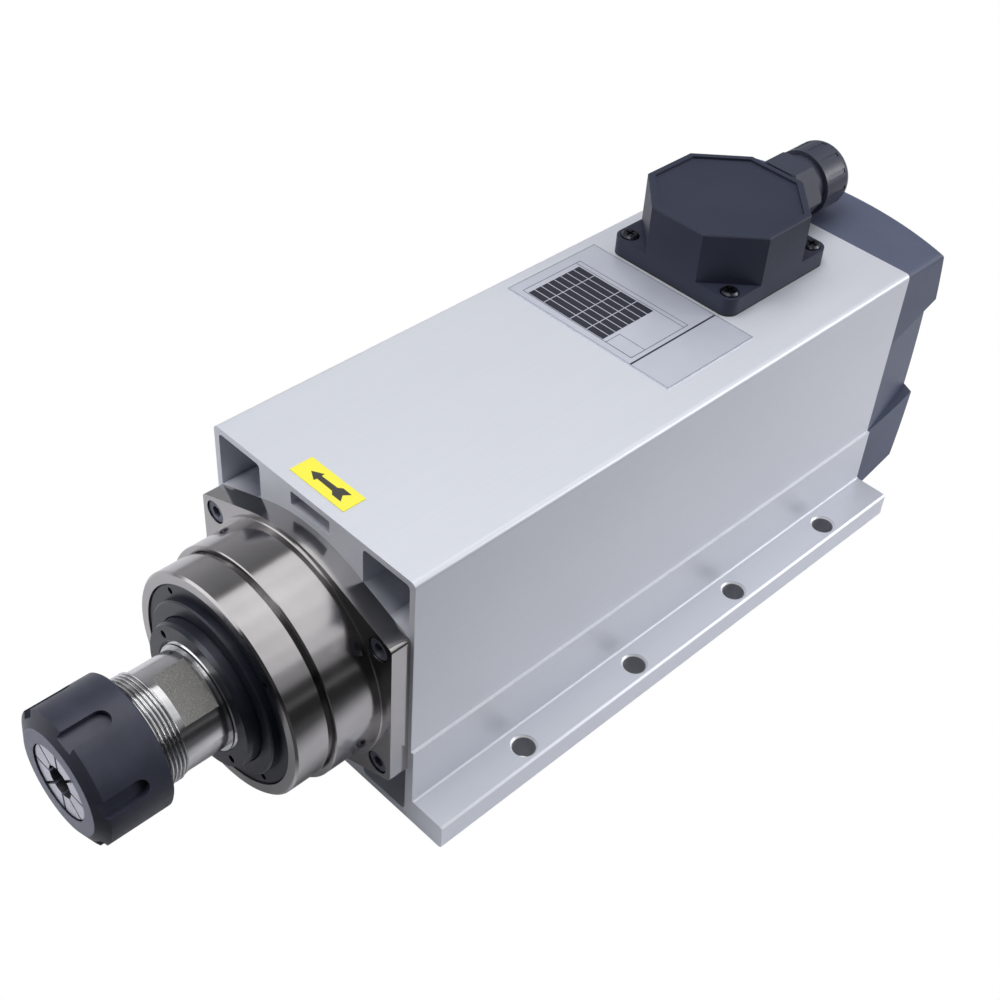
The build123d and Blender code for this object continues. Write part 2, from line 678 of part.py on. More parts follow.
FRONT_BEARING = (FRONT_BEARING_BORE_R, FRONT_BEARING_OUTER_R, FRONT_BEARING_WIDTH, FRONT_BALL_R)
REAR_BEARING = (REAR_BEARING_BORE_R, REAR_BEARING_OUTER_R, REAR_BEARING_WIDTH, REAR_BALL_R)


def front_bearing_stations():
    """Front face of each front bearing."""
    return [FRONT_BEARINGS_START + index * FRONT_BEARING_WIDTH for index in range(FRONT_BEARING_COUNT)]


def taper_r(y):
    """Radius of the collet's taper at a station behind its large end."""
    return COLLET_LARGE_R - (y - COLLET_FRONT - COLLET_HEAD) * tan(radians(COLLET_HALF_ANGLE))


def spindle_shaft():
    """Stepped shaft with its collet taper, thread core, wrench flats and bearing seats."""
    tip = FRONT - SHAFT_END
    taper_end = COLLET_FRONT + COLLET_LENGTH + TAPER_RUNOUT
    shoulder_end = FRONT_BEARINGS_END + SHAFT_SHOULDER_LENGTH
    cage_front = STACK_FRONT - ROTOR_RING_LENGTH
    outline = [
        (taper_r(tip) + CONE_GAP, tip),
        (SHAFT_THREAD_CORE_R - THREAD_LEAD_IN, tip),
        (SHAFT_THREAD_CORE_R, tip + THREAD_LEAD_IN),
        (SHAFT_THREAD_CORE_R, FRONT - SHAFT_THREAD_START),
        (SHAFT_NECK_R, FRONT - SHAFT_THREAD_START),
        (SHAFT_NECK_R, FRONT - SHAFT_COLLAR_START),
        (SHAFT_COLLAR_R, FRONT - SHAFT_COLLAR_START),
        (SHAFT_COLLAR_R, FRONT - LABYRINTH_END),
        (SHAFT_NUT_SEAT_R, FRONT - LABYRINTH_END + SHAFT_NUT_SEAT_R - SHAFT_COLLAR_R),
        (SHAFT_NUT_SEAT_R, FRONT_BEARINGS_START),
        (FRONT_BEARING_BORE_R, FRONT_BEARINGS_START),
        (FRONT_BEARING_BORE_R, FRONT_BEARINGS_END),
        (SHAFT_SHOULDER_R, FRONT_BEARINGS_END),
        (SHAFT_SHOULDER_R, shoulder_end),
        (SHAFT_MIDDLE_R, shoulder_end + SHAFT_SHOULDER_R - SHAFT_MIDDLE_R),
        (SHAFT_MIDDLE_R, cage_front),
        (SHAFT_ROTOR_R, cage_front),
        (SHAFT_ROTOR_R, STACK_REAR + ROTOR_RING_LENGTH),
        (SHAFT_STEP_R, STACK_REAR + ROTOR_RING_LENGTH),
        (SHAFT_STEP_R, REAR_BEARING_START),
        (REAR_BEARING_BORE_R, REAR_BEARING_START),
        (REAR_BEARING_BORE_R, REAR + REAR_NUT_END),
        (SHAFT_FAN_R, REAR + REAR_NUT_END),
        (SHAFT_FAN_R, FAN_HUB_REAR),
        (0, FAN_HUB_REAR),
        (0, tip + TOOL_BORE_DEPTH),
        (TOOL_BORE_R, tip + TOOL_BORE_DEPTH - TOOL_BORE_CONE),
        (TOOL_BORE_R, taper_end),
        (taper_r(taper_end) + CONE_GAP, taper_end),
    ]
    flat_end = FRONT - FLAT_START
    waste = 2 * (SHAFT_NECK_R - FLAT_DISTANCE)
    bar = Rectangle(waste, 2 * SHAFT_NECK_R)
    flats = [
        along_y(
            on_axis(Rot(0, 0, turn) * (Pos(FLAT_DISTANCE + waste / 2, 0) * bar)),
            flat_end - FLAT_LENGTH,
            flat_end,
        )
        for turn in (FLAT_ANGLE, FLAT_ANGLE + 180)
    ]
    drill_end = FAN_HUB_REAR - FAN_SCREW_LENGTH - FAN_SCREW_R
    screw_hole = rod(FAN_SCREW_R + SCREW_CLEARANCE, drill_end, FAN_HUB_REAR + OVERCUT)
    return turned(outline) - flats - screw_hole


def rotor_bar_section():
    """The conductor bars of the rotor, as one group of rectangles."""
    centre_r = ROTOR_R - ROTOR_BAR_COVER - ROTOR_BAR_DEPTH / 2
    bar = Pos(centre_r, 0) * Rectangle(ROTOR_BAR_DEPTH, ROTOR_BAR_WIDTH)
    return Sketch() + [Rot(0, 0, angle) * bar for angle in around(ROTOR_BAR_COUNT)]


def rotor_core():
    """Laminated rotor with its bar slots."""
    section = Circle(ROTOR_R) - Circle(SHAFT_ROTOR_R) - rotor_bar_section()
    return along_y(on_axis(section), STACK_FRONT, STACK_REAR)


def rotor_cage():
    """Aluminium bars cast in one with the two end rings."""
    outer_r = ROTOR_R - ROTOR_BAR_COVER / 2
    cage = along_y(on_axis(rotor_bar_section()), STACK_FRONT, STACK_REAR)
    for start in (STACK_FRONT - ROTOR_RING_LENGTH, STACK_REAR):
        cage += tube(outer_r, SHAFT_ROTOR_R, start, start + ROTOR_RING_LENGTH)
    return cage


def stator_slot_section(liner=0.0):
    """Winding slots of the stator; liner narrows them for the copper inside."""
    bottom_r = STATOR_SLOT_ROOT_R - liner
    top_r = ROTOR_R + AIR_GAP + STATOR_LIP + liner
    slot = Pos((bottom_r + top_r) / 2, 0) * Rectangle(bottom_r - top_r, STATOR_SLOT_WIDTH - 2 * liner)
    if not liner:
        mouth_r = ROTOR_R + AIR_GAP + STATOR_LIP / 2
        slot += Pos(mouth_r, 0) * Rectangle(STATOR_LIP + OVERCUT, STATOR_SLOT_MOUTH)
    return Sketch() + [Rot(0, 0, angle) * slot for angle in around(STATOR_SLOT_COUNT)]


def stator_core():
    """Laminated stator pressed into the body's bore."""
    section = Circle(STATOR_BORE_R) - Circle(ROTOR_R + AIR_GAP) - stator_slot_section()
    return along_y(on_axis(section), STACK_FRONT, STACK_REAR)


def stator_windings():
    """Copper in the slots, joined by the end turns at both ends."""
    inner_r = ROTOR_R + AIR_GAP + STATOR_LIP + SLOT_LINER
    bulge = END_TURN_BULGE
    outer_r = STATOR_SLOT_ROOT_R + bulge / 2
    copper = along_y(
        on_axis(stator_slot_section(SLOT_LINER)), STACK_FRONT - END_TURN_GAP, STACK_REAR + END_TURN_GAP
    )
    for face, way in ((STACK_FRONT - END_TURN_GAP, -1), (STACK_REAR + END_TURN_GAP, 1)):
        end = face + way * END_TURN_LENGTH
        profile = [
            (inner_r, face),
            (outer_r - bulge, face),
            (outer_r, face + way * bulge),
            (outer_r, end - way * bulge),
            (outer_r - bulge, end),
            (inner_r + bulge, end),
            (inner_r, end - way * bulge),
        ]
        copper += turned(profile)
    return copper


def motor_leads():
    """One lead for each terminal, from the end turns up through the body and into the block."""
    winding_r = STATOR_SLOT_ROOT_R + END_TURN_BULGE / 2
    height = BODY_TOP + TERMINAL_HEIGHT / 2
    y = STACK_REAR + END_TURN_GAP + END_TURN_LENGTH - END_TURN_BULGE - LEAD_R
    block_face = terminal_y() + TERMINAL_DEPTH / 2
    leads = []
    for x in terminal_places():
        nearest = max(abs(x) - LEAD_R, 0)
        low = AXIS_HEIGHT + sqrt(winding_r**2 - nearest**2)
        route = Polyline((x, y, low), (x, y, height), (x, block_face, height))
        route = fillet(route.vertices().sort_by_distance((x, y, height))[0], 2 * LEAD_R)
        leads.append(sweep(Plane(origin=(x, y, low), z_dir=(0, 0, 1)) * Circle(LEAD_R), route))
    return leads


def rear_bearing_housing():
    """Plate bolted on the rear of the body, carrying the rear bearing and its spring."""
    bore_r = REAR_BEARING_OUTER_R + SPIGOT_CLEARANCE
    spring_stop = REAR_BEARING_STOP + REAR_SPRING_THICKNESS
    outline = [
        (bore_r, REAR - REAR_SPIGOT_LENGTH),
        (STATOR_BORE_R - SPIGOT_CLEARANCE, REAR - REAR_SPIGOT_LENGTH),
        (STATOR_BORE_R - SPIGOT_CLEARANCE, REAR + REAR_PLATE_THICKNESS),
        (REAR_SHOULDER_R, REAR + REAR_PLATE_THICKNESS),
        (REAR_SHOULDER_R, spring_stop),
        (bore_r, spring_stop),
    ]
    ring_hole = on_axis(Circle((REAR_BEARING_OUTER_R + STATOR_BORE_R) / 2))
    plate_section = flange_section(REAR_PLATE_INSET) - ring_hole
    plate = along_y(plate_section, REAR, REAR + REAR_PLATE_THICKNESS)
    plate_face = REAR + REAR_PLATE_THICKNESS
    cuts = []
    for x, z in four_corners(FLANGE_SCREW_X, FLANGE_SCREW_Z):
        cuts.append(rod(FLANGE_SCREW_R + SCREW_CLEARANCE, REAR - OVERCUT, plate_face + OVERCUT, x, z))
    for x, z in four_corners(COVER_SCREW_X, COVER_SCREW_Z):
        cuts.append(rod(COVER_SCREW_R + SCREW_CLEARANCE, REAR - OVERCUT, plate_face + OVERCUT, x, z))
    return turned(outline) + plate - cuts


def rear_housing_screws():
    """Four socket-head screws that hold the rear bearing housing."""
    screws = []
    for x, z in four_corners(FLANGE_SCREW_X, FLANGE_SCREW_Z):
        screw = socket_screw(0, x, z, FLANGE_SCREW_LENGTH)
        screws.append(Pos(0, REAR + REAR_PLATE_THICKNESS, 0) * mirror(screw, Plane.XZ))
    return screws


def preload_spring():
    """Flat preload ring between the rear bearing and its housing."""
    outer_r = REAR_BEARING_OUTER_R - REAR_SPRING_GAP
    inner_r = outer_r - REAR_SPRING_WIDTH
    return tube(outer_r, inner_r, REAR_BEARING_STOP, REAR_BEARING_STOP + REAR_SPRING_THICKNESS)


def rear_locknut():
    """Round nut that holds the rear bearing's inner ring, slotted for a hook spanner."""
    inner_land_r = (REAR_BEARING_BORE_R + REAR_BEARING_OUTER_R) / 2 - SHOULDER_SHARE * REAR_BALL_R
    collar_start = REAR_BEARING_STOP + REAR_NUT_NECK
    nut = tube(REAR_NUT_R, REAR_BEARING_BORE_R, collar_start, REAR + REAR_NUT_END)
    nut += tube(inner_land_r, REAR_BEARING_BORE_R, REAR_BEARING_STOP, collar_start + JOIN)
    notch = Pos(REAR_NUT_R, 0) * Rectangle(2 * REAR_NUT_NOTCH_DEPTH, REAR_NUT_NOTCH_WIDTH)
    notches = [
        along_y(on_axis(Rot(0, 0, turn) * notch), REAR + REAR_NUT_NOTCH_START, REAR + REAR_NUT_END + OVERCUT)
        for turn in around(REAR_NUT_NOTCHES)
    ]
    return nut - notches


def fan_vane():
    """One backward-swept vane, as an arc of even thickness from the inner to the outer radius."""
    half = FAN_VANE_THICKNESS / 2
    sweep = radians(FAN_VANE_SWEEP)
    middle_r = (FAN_VANE_INNER_R + FAN_R) / 2
    start = (FAN_VANE_INNER_R, 0)
    bend_turn = FAN_VANE_BEND * sweep
    bend = (middle_r * cos(bend_turn), middle_r * sin(bend_turn))
    tip_r = FAN_R - half
    tip = (tip_r * cos(sweep), tip_r * sin(sweep))
    return trace(ThreePointArc(start, bend, tip), FAN_VANE_THICKNESS)


def cooling_fan():
    """Radial fan: back plate, hub and swept vanes that throw the air into the body's channels."""
    plate = tube(FAN_R, SHAFT_FAN_R, FAN_FRONT, FAN_FRONT + FAN_PLATE)
    hub = tube(FAN_HUB_R, SHAFT_FAN_R, FAN_FRONT + FAN_PLATE / 2, FAN_HUB_REAR)
    vane = fan_vane()
    vane_end = FAN_FRONT + FAN_PLATE + FAN_VANE_LENGTH
    vanes = [
        along_y(on_axis(Rot(0, 0, turn) * vane), FAN_FRONT + FAN_PLATE / 2, vane_end)
        for turn in around(FAN_VANE_COUNT)
    ]
    return plate + hub + vanes


def fan_screw():
    """Button screw and washer that hold the fan on the shaft's end."""
    washer_top = FAN_HUB_REAR + FAN_WASHER_THICKNESS
    head = turned(
        [
            (0, FAN_HUB_REAR),
            (FAN_WASHER_R, FAN_HUB_REAR),
            (FAN_WASHER_R, washer_top),
            (FAN_SCREW_HEAD_R, washer_top),
            (FAN_SCREW_HEAD_R - FAN_SCREW_HEAD_HEIGHT / 2, washer_top + FAN_SCREW_HEAD_HEIGHT),
            (0, washer_top + FAN_SCREW_HEAD_HEIGHT),
        ]
    )
    return head + rod(FAN_SCREW_R, FAN_HUB_REAR - FAN_SCREW_LENGTH, FAN_HUB_REAR + JOIN)


def cover_form(inset):
    """Outer or inner form of the rear cover: its rounded section cut by the barrel-shaped back."""
    half_width = BODY_WIDTH / 2 - inset
    bottom = COVER_BOTTOM + inset
    top = BODY_TOP - inset
    section = Pos(0, (top + bottom) / 2) * Rectangle(2 * half_width, top - bottom)
    upper = [v for v in section.vertices() if v.Y > top - TOUCH]
    section = fillet(upper, max(CORNER_RADIUS - inset, COVER_INNER_R))
    block = along_y(section, REAR, REAR + COVER_DEPTH)
    return block & barrel_back(inset, bottom, top)


def barrel_back(inset, bottom, top):
    """Side profile of the cover, turned about an upright axis to give the back its plan curve."""
    axis_y = REAR + COVER_DEPTH - COVER_PLAN_R
    back_r = COVER_BACK_R - inset
    centre_y = REAR + COVER_DEPTH - COVER_BACK_R
    low = bottom + COVER_BEVEL_HEIGHT

    def back_y(z):
        return centre_y + sqrt(back_r**2 - (z - COVER_BACK_HEIGHT) ** 2)

    profile = make_face(
        [
            Line((axis_y, top), (back_y(top), top)),
            ThreePointArc((back_y(top), top), (centre_y + back_r, COVER_BACK_HEIGHT), (back_y(low), low)),
            Line((back_y(low), low), (back_y(low) - COVER_BEVEL_LENGTH, bottom)),
            Line((back_y(low) - COVER_BEVEL_LENGTH, bottom), (axis_y, bottom)),
            Line((axis_y, bottom), (axis_y, top)),
        ]
    )
    upper_rear = [v for v in profile.vertices() if v.Y > top - TOUCH and v.X > REAR]
    profile = fillet(upper_rear, max(COVER_EDGE_R - inset, COVER_INNER_R))
    return revolve(Plane.YZ * profile, Axis((0, axis_y, 0), (0, 0, 1)))


def grip_recess(side, inset=0.0):
    """Hollow in one flank of the cover, deeper towards the back; inset moves it into the cover."""
    far = REAR + COVER_DEPTH + OVERCUT
    reach = BODY_WIDTH / 2 + OVERCUT
    edge = BODY_WIDTH / 2 - inset
    floor = edge - tan(radians(RECESS_ANGLE)) * (far - REAR)
    wedge = make_face(Polyline((edge, REAR), (reach, REAR), (reach, far), (floor, far), close=True).edges())
    slab = extrude(wedge if side > 0 else mirror(wedge, Plane.YZ), BODY_TOP)
    front_bottom = RECESS_FRONT_BOTTOM - inset
    rear_bottom = RECESS_REAR_BOTTOM - inset
    sag_point = ((REAR + far) / 2, (front_bottom + rear_bottom) / 2 - RECESS_SAG)
    above = make_face(
        [
            Line((REAR, front_bottom), (REAR, BODY_TOP)),
            Line((REAR, BODY_TOP), (far, BODY_TOP)),
            Line((far, BODY_TOP), (far, rear_bottom)),
            ThreePointArc((far, rear_bottom), sag_point, (REAR, front_bottom)),
        ]
    )
    slab &= Pos(-BODY_WIDTH, 0, 0) * extrude(Plane.YZ * above, 2 * BODY_WIDTH)
    return slab & below_recess_wall(side, inset, far)


def below_recess_wall(side, inset, far):
    """Everything under the sloping upper wall of a recess."""
    wall_top = RECESS_TOP + inset - RECESS_WALL_SLOPE * BODY_WIDTH / 2
    rise = RECESS_TOP_RISE * (far - REAR) / COVER_DEPTH
    corners = [(REAR, -BODY_WIDTH), (REAR, wall_top), (far, wall_top + rise), (far, -BODY_WIDTH)]
    face = Plane.YZ * make_face(Polyline(*corners, close=True).edges())
    way = Vector(side, 0, RECESS_WALL_SLOPE)
    return extrude(face, BODY_WIDTH * way.length, dir=way.normalized())


def grille_section():
    """Air slots of the rear wall: rows clipped to a circle, with a closed hub."""
    rows = Sketch() + [
        Pos(0, (index - (GRILLE_ROWS - 1) / 2) * GRILLE_PITCH) * Rectangle(2 * GRILLE_R, GRILLE_SLOT)
        for index in range(GRILLE_ROWS)
    ]
    ribs = Rectangle(GRILLE_RIB, 2 * GRILLE_R) + Circle(GRILLE_HUB_R)
    return on_axis((rows & Circle(GRILLE_R)) - ribs)


def rear_cover():
    """Moulded fan cover: thin shell with grip recesses, air slots and four screw pillars."""
    outer = cover_form(0)
    inner = cover_form(COVER_WALL)
    for side in (-1, 1):
        outer -= grip_recess(side)
        inner -= grip_recess(side, COVER_WALL)
    plate_face = REAR + REAR_PLATE_THICKNESS
    beyond = REAR + COVER_DEPTH + OVERCUT
    places = four_corners(COVER_SCREW_X, COVER_SCREW_Z)
    pillars = [rod(COVER_PILLAR_R, plate_face, beyond, x, z) for x, z in places]
    solid = outer - inner + [pillar & outer for pillar in pillars]
    cuts = [along_y(grille_section(), REAR + COVER_DEPTH / 2, beyond)]
    seat = plate_face + COVER_PILLAR_FLOOR
    for x, z in places:
        cuts.append(rod(COVER_SCREW_HEAD_R + HEAD_CLEARANCE, seat, beyond, x, z))
        cuts.append(rod(COVER_SCREW_R + SCREW_CLEARANCE, plate_face - OVERCUT, seat + OVERCUT, x, z))
    return solid - cuts


def cover_screws():
    """Four screws at the bottom of the cover's pillars, into the rear bearing housing."""
    seat = REAR + REAR_PLATE_THICKNESS + COVER_PILLAR_FLOOR
    screws = []
    for x, z in four_corners(COVER_SCREW_X, COVER_SCREW_Z):
        head = rod(COVER_SCREW_HEAD_R, seat, seat + COVER_SCREW_HEAD_HEIGHT, x, z)
        screws.append(head + rod(COVER_SCREW_R, REAR + JOIN, seat + JOIN, x, z))
    return screws


def box_screw_places():
    """X and Y of the terminal box's corner screws."""
    reach = BOX_SIDE / 2 - BOX_SCREW_INSET
    return [(BOX_X + sx * reach, BOX_Y + sy * reach) for sx in (-1, 1) for sy in (-1, 1)]


def octagon(inset):
    """Regular octagon with a flat to each side of the box, drawn in from its outer walls."""
    outline = RegularPolygon(BOX_SIDE / 2 - inset, BOX_SIDES, major_radius=False)
    return Rot(0, 0, 180 / BOX_SIDES) * outline


def terminal_box():
    """Moulded eight-sided box on a square base with four screw lugs and a gland boss."""
    base = fillet(Rectangle(BOX_SIDE, BOX_SIDE).vertices(), BOX_CORNER_R)
    height = BOX_TOP - BOX_FLOOR
    box = extrude(base, BOX_LUG_HEIGHT) + extrude(octagon(0), height)
    box -= extrude(octagon(BOX_WALL), height - BOX_WALL)
    box = chamfer(box.edges().group_by(Axis.Z)[-1], BOX_EDGE)
    box -= Pos(0, 0, height - BOX_RIM_HEIGHT) * extrude(octagon(BOX_RIM_WIDTH), BOX_WALL)
    box = Pos(BOX_X, BOX_Y, BOX_FLOOR) * box
    boss_front = BOX_REAR - GLAND_WALL_BOSS
    boss_r = GLAND_WALL_R + GLAND_BOSS_WALL
    box += rod(boss_r, boss_front, BOX_REAR - BOX_WALL / 2, BOX_X, GLAND_Z)
    box -= rod(GLAND_WALL_R, boss_front - OVERCUT, BOX_REAR + OVERCUT, BOX_X, GLAND_Z)
    lug_top = BOX_FLOOR + BOX_LUG_HEIGHT
    head_room = BOX_SCREW_HEAD_R + HEAD_CLEARANCE
    for x, y in box_screw_places():
        box -= post(BOX_SCREW_R + SCREW_CLEARANCE, BOX_FLOOR - OVERCUT, lug_top + OVERCUT, x, y)
        box -= post(head_room, lug_top - BOX_SCREW_SINK, lug_top + BOX_SCREW_HEAD_HEIGHT, x, y)
    return box


def terminal_gasket():
    """Flat seal between the box and the body."""
    sheet = fillet(Rectangle(BOX_SIDE, BOX_SIDE).vertices(), BOX_CORNER_R)
    window = octagon(GASKET_WIDTH)
    gasket = Pos(BOX_X, BOX_Y, BODY_TOP) * extrude(sheet - window, GASKET_THICKNESS)
    for x, y in box_screw_places():
        gasket -= post(BOX_SCREW_R + SCREW_CLEARANCE, BODY_TOP - OVERCUT, BOX_FLOOR + OVERCUT, x, y)
    return gasket


def terminal_box_screws():
    """Four pan-head screws through the lugs into the body's top wall."""
    seat = BOX_FLOOR + BOX_LUG_HEIGHT - BOX_SCREW_SINK
    top = seat + BOX_SCREW_HEAD_HEIGHT
    cross = Rectangle(CROSS_LENGTH, CROSS_WIDTH) + Rectangle(CROSS_WIDTH, CROSS_LENGTH)
    screws = []
    for x, y in box_screw_places():
        head = post(BOX_SCREW_HEAD_R, seat, top, x, y)
        head = chamfer(head.edges().group_by(Axis.Z)[-1], BOX_SCREW_EDGE)
        head -= Pos(x, y, top - CROSS_DEPTH) * extrude(cross, CROSS_DEPTH + OVERCUT)
        screws.append(head + post(BOX_SCREW_R, seat - BOX_SCREW_LENGTH, seat + JOIN, x, y))
    return screws


def terminal_places():
    """X of the terminals along the block."""
    middle = (TERMINAL_COUNT - 1) / 2
    return [BOX_X + (index - middle) * TERMINAL_PITCH for index in range(TERMINAL_COUNT)]


def terminal_y():
    """Centre line of the terminal block, ahead of the lead hole."""
    return BOX_Y - LEAD_HOLE_R - TERMINAL_DEPTH / 2 - TERMINAL_STAND_OFF


def terminal_block():
    """Insulating block with a socket for each terminal screw."""
    width = TERMINAL_COUNT * TERMINAL_PITCH + 2 * TERMINAL_EAR
    block = Pos(BOX_X, terminal_y(), BODY_TOP) * extrude(Rectangle(width, TERMINAL_DEPTH), TERMINAL_HEIGHT)
    top = BODY_TOP + TERMINAL_HEIGHT
    socket_r = TERMINAL_SCREW_R + TERMINAL_SOCKET_GAP
    for x in terminal_places():
        block -= post(socket_r, top - TERMINAL_SOCKET_DEPTH, top + OVERCUT, x, terminal_y())
    return block


def terminal_clamp_screws():
    """One clamp screw in each socket of the block."""
    floor = BODY_TOP + TERMINAL_HEIGHT - TERMINAL_SOCKET_DEPTH
    top = floor + TERMINAL_SCREW_HEIGHT
    return [post(TERMINAL_SCREW_R, floor, top, x, terminal_y()) for x in terminal_places()]


def gland_section(section):
    """Moves a section drawn about its own centre onto the gland's axis."""
    return Pos(BOX_X, GLAND_Z) * section


def gland_body():
    """Hexagon body of the gland, screwed through the box wall, with the cap's thread."""
    hexagon = gland_section(RegularPolygon(GLAND_HEX / 2, HEX_SIDES, major_radius=False))
    corner_r = GLAND_HEX / 2 / cos(radians(180 / HEX_SIDES))
    blank = turned(
        [
            (0, GLAND_HEX_FRONT),
            (corner_r - GLAND_HEX_CHAMFER, GLAND_HEX_FRONT),
            (corner_r, GLAND_HEX_FRONT + GLAND_HEX_CHAMFER),
            (corner_r, GLAND_HEX_REAR - GLAND_HEX_CHAMFER),
            (corner_r - GLAND_HEX_CHAMFER, GLAND_HEX_REAR),
            (0, GLAND_HEX_REAR),
        ],
        GLAND_AXIS,
    )
    boss_front = BOX_REAR - GLAND_WALL_BOSS
    stem = rod(GLAND_WALL_R, boss_front, GLAND_HEX_FRONT, BOX_X, GLAND_Z)
    thread = rod(GLAND_THREAD_R, GLAND_HEX_REAR, GLAND_THREAD_END, BOX_X, GLAND_Z)
    body = (along_y(hexagon, GLAND_HEX_FRONT, GLAND_HEX_REAR) & blank) + stem + thread
    body -= rod(GLAND_BODY_BORE_R, GLAND_SEAT, GLAND_THREAD_END + OVERCUT, BOX_X, GLAND_Z)
    return body - rod(GLAND_WAY_R, boss_front - OVERCUT, GLAND_SEAT + OVERCUT, BOX_X, GLAND_Z)


def gland_washer():
    """Flat seal between the gland's hexagon and the box wall."""
    return tube(GLAND_WASHER_R, GLAND_WALL_R, BOX_REAR, GLAND_HEX_FRONT, GLAND_AXIS)


def cap_cone(offset):
    """Corners of the cap's inner cone, moved forward by an offset, from wide to narrow."""
    end = GLAND_CAP_REAR - GLAND_CAP_LIP - offset
    return (GLAND_THREAD_R + FIT_GAP, end - GLAND_CAP_CONE), (GLAND_CAP_MOUTH_R, end)


def gland_cap():
    """Dome nut with grip grooves round its rim."""
    wide, narrow = cap_cone(0)
    dome_start = GLAND_CAP_REAR - GLAND_CAP_DOME
    crown_r = GLAND_CAP_R - GLAND_CAP_DOME
    bulge = GLAND_CAP_DOME * sqrt(1 / 2)
    shell = make_face(
        [
            Line((wide[0], GLAND_CAP_FRONT), (GLAND_CAP_R, GLAND_CAP_FRONT)),
            Line((GLAND_CAP_R, GLAND_CAP_FRONT), (GLAND_CAP_R, dome_start)),
            ThreePointArc(
                (GLAND_CAP_R, dome_start), (crown_r + bulge, dome_start + bulge), (crown_r, GLAND_CAP_REAR)
            ),
            Line((crown_r, GLAND_CAP_REAR), (GLAND_CAP_MOUTH_R, GLAND_CAP_REAR)),
            Line((GLAND_CAP_MOUTH_R, GLAND_CAP_REAR), narrow),
            Line(narrow, wide),
            Line(wide, (wide[0], GLAND_CAP_FRONT)),
        ]
    )
    cap = Pos(BOX_X, 0, GLAND_Z) * revolve(shell, Axis.Y)
    grip = Pos(GLAND_CAP_R, 0) * Rectangle(2 * GLAND_GRIP_DEPTH, GLAND_GRIP_WIDTH)
    grip_start = GLAND_CAP_FRONT + GLAND_GRIP_WIDTH
    grips = [
        along_y(gland_section(Rot(0, 0, turn) * grip), grip_start, dome_start)
        for turn in around(GLAND_CAP_GRIPS)
    ]
    return cap - grips


def gland_seal():
    """Rubber insert that grips the cable, with a cone under the cap's cone."""
    wide, narrow = cap_cone(RUNNING_GAP)
    seal_r = GLAND_BODY_BORE_R - GLAND_SEAL_GAP
    start = GLAND_SEAT + RUNNING_GAP
    share = (wide[0] - seal_r) / (wide[0] - narrow[0])
    outline = [
        (GLAND_CABLE_R, start),
        (seal_r, start),
        (seal_r, wide[1] + share * (narrow[1] - wide[1])),
        narrow,
        (GLAND_CABLE_R, narrow[1]),
    ]
    return turned(outline, GLAND_AXIS)


def collet_groove():
    """Front edge of the groove behind the collet's front cone."""
    return COLLET_FRONT + COLLET_HEAD - COLLET_GROOVE_WIDTH - COLLET_LAND


def collet_head_r():
    """Wide end of the collet's front cone, which the nut presses on."""
    return COLLET_FACE_R + (collet_groove() - COLLET_FRONT) * tan(radians(NUT_CONE_ANGLE))


def collet():
    """Spring collet: nut cone, groove and long taper, cut by slots from both ends in turn."""
    groove = collet_groove()
    end = COLLET_FRONT + COLLET_LENGTH
    outline = [
        (COLLET_BORE_R, COLLET_FRONT),
        (COLLET_FACE_R, COLLET_FRONT),
        (collet_head_r(), groove),
        (COLLET_GROOVE_R, groove),
        (COLLET_GROOVE_R, groove + COLLET_GROOVE_WIDTH),
        (COLLET_LARGE_R, groove + COLLET_GROOVE_WIDTH),
        (COLLET_LARGE_R, COLLET_FRONT + COLLET_HEAD),
        (taper_r(end), end),
        (COLLET_BORE_R, end),
    ]
    blank = turned(outline)
    slot_length = COLLET_LARGE_R + OVERCUT - COLLET_BORE_R / 2
    slot = Pos(COLLET_BORE_R / 2 + slot_length / 2, 0) * Rectangle(slot_length, COLLET_SLOT_WIDTH)
    slots = []
    for index, turn in enumerate(around(2 * COLLET_SLOT_COUNT)):
        section = on_axis(Rot(0, 0, turn) * slot)
        if index % 2 == 0:
            slots.append(along_y(section, COLLET_FRONT - OVERCUT, COLLET_FRONT + COLLET_SLOT_REACH))
        else:
            slots.append(along_y(section, end - COLLET_SLOT_REACH, end + OVERCUT))
    return blank - slots


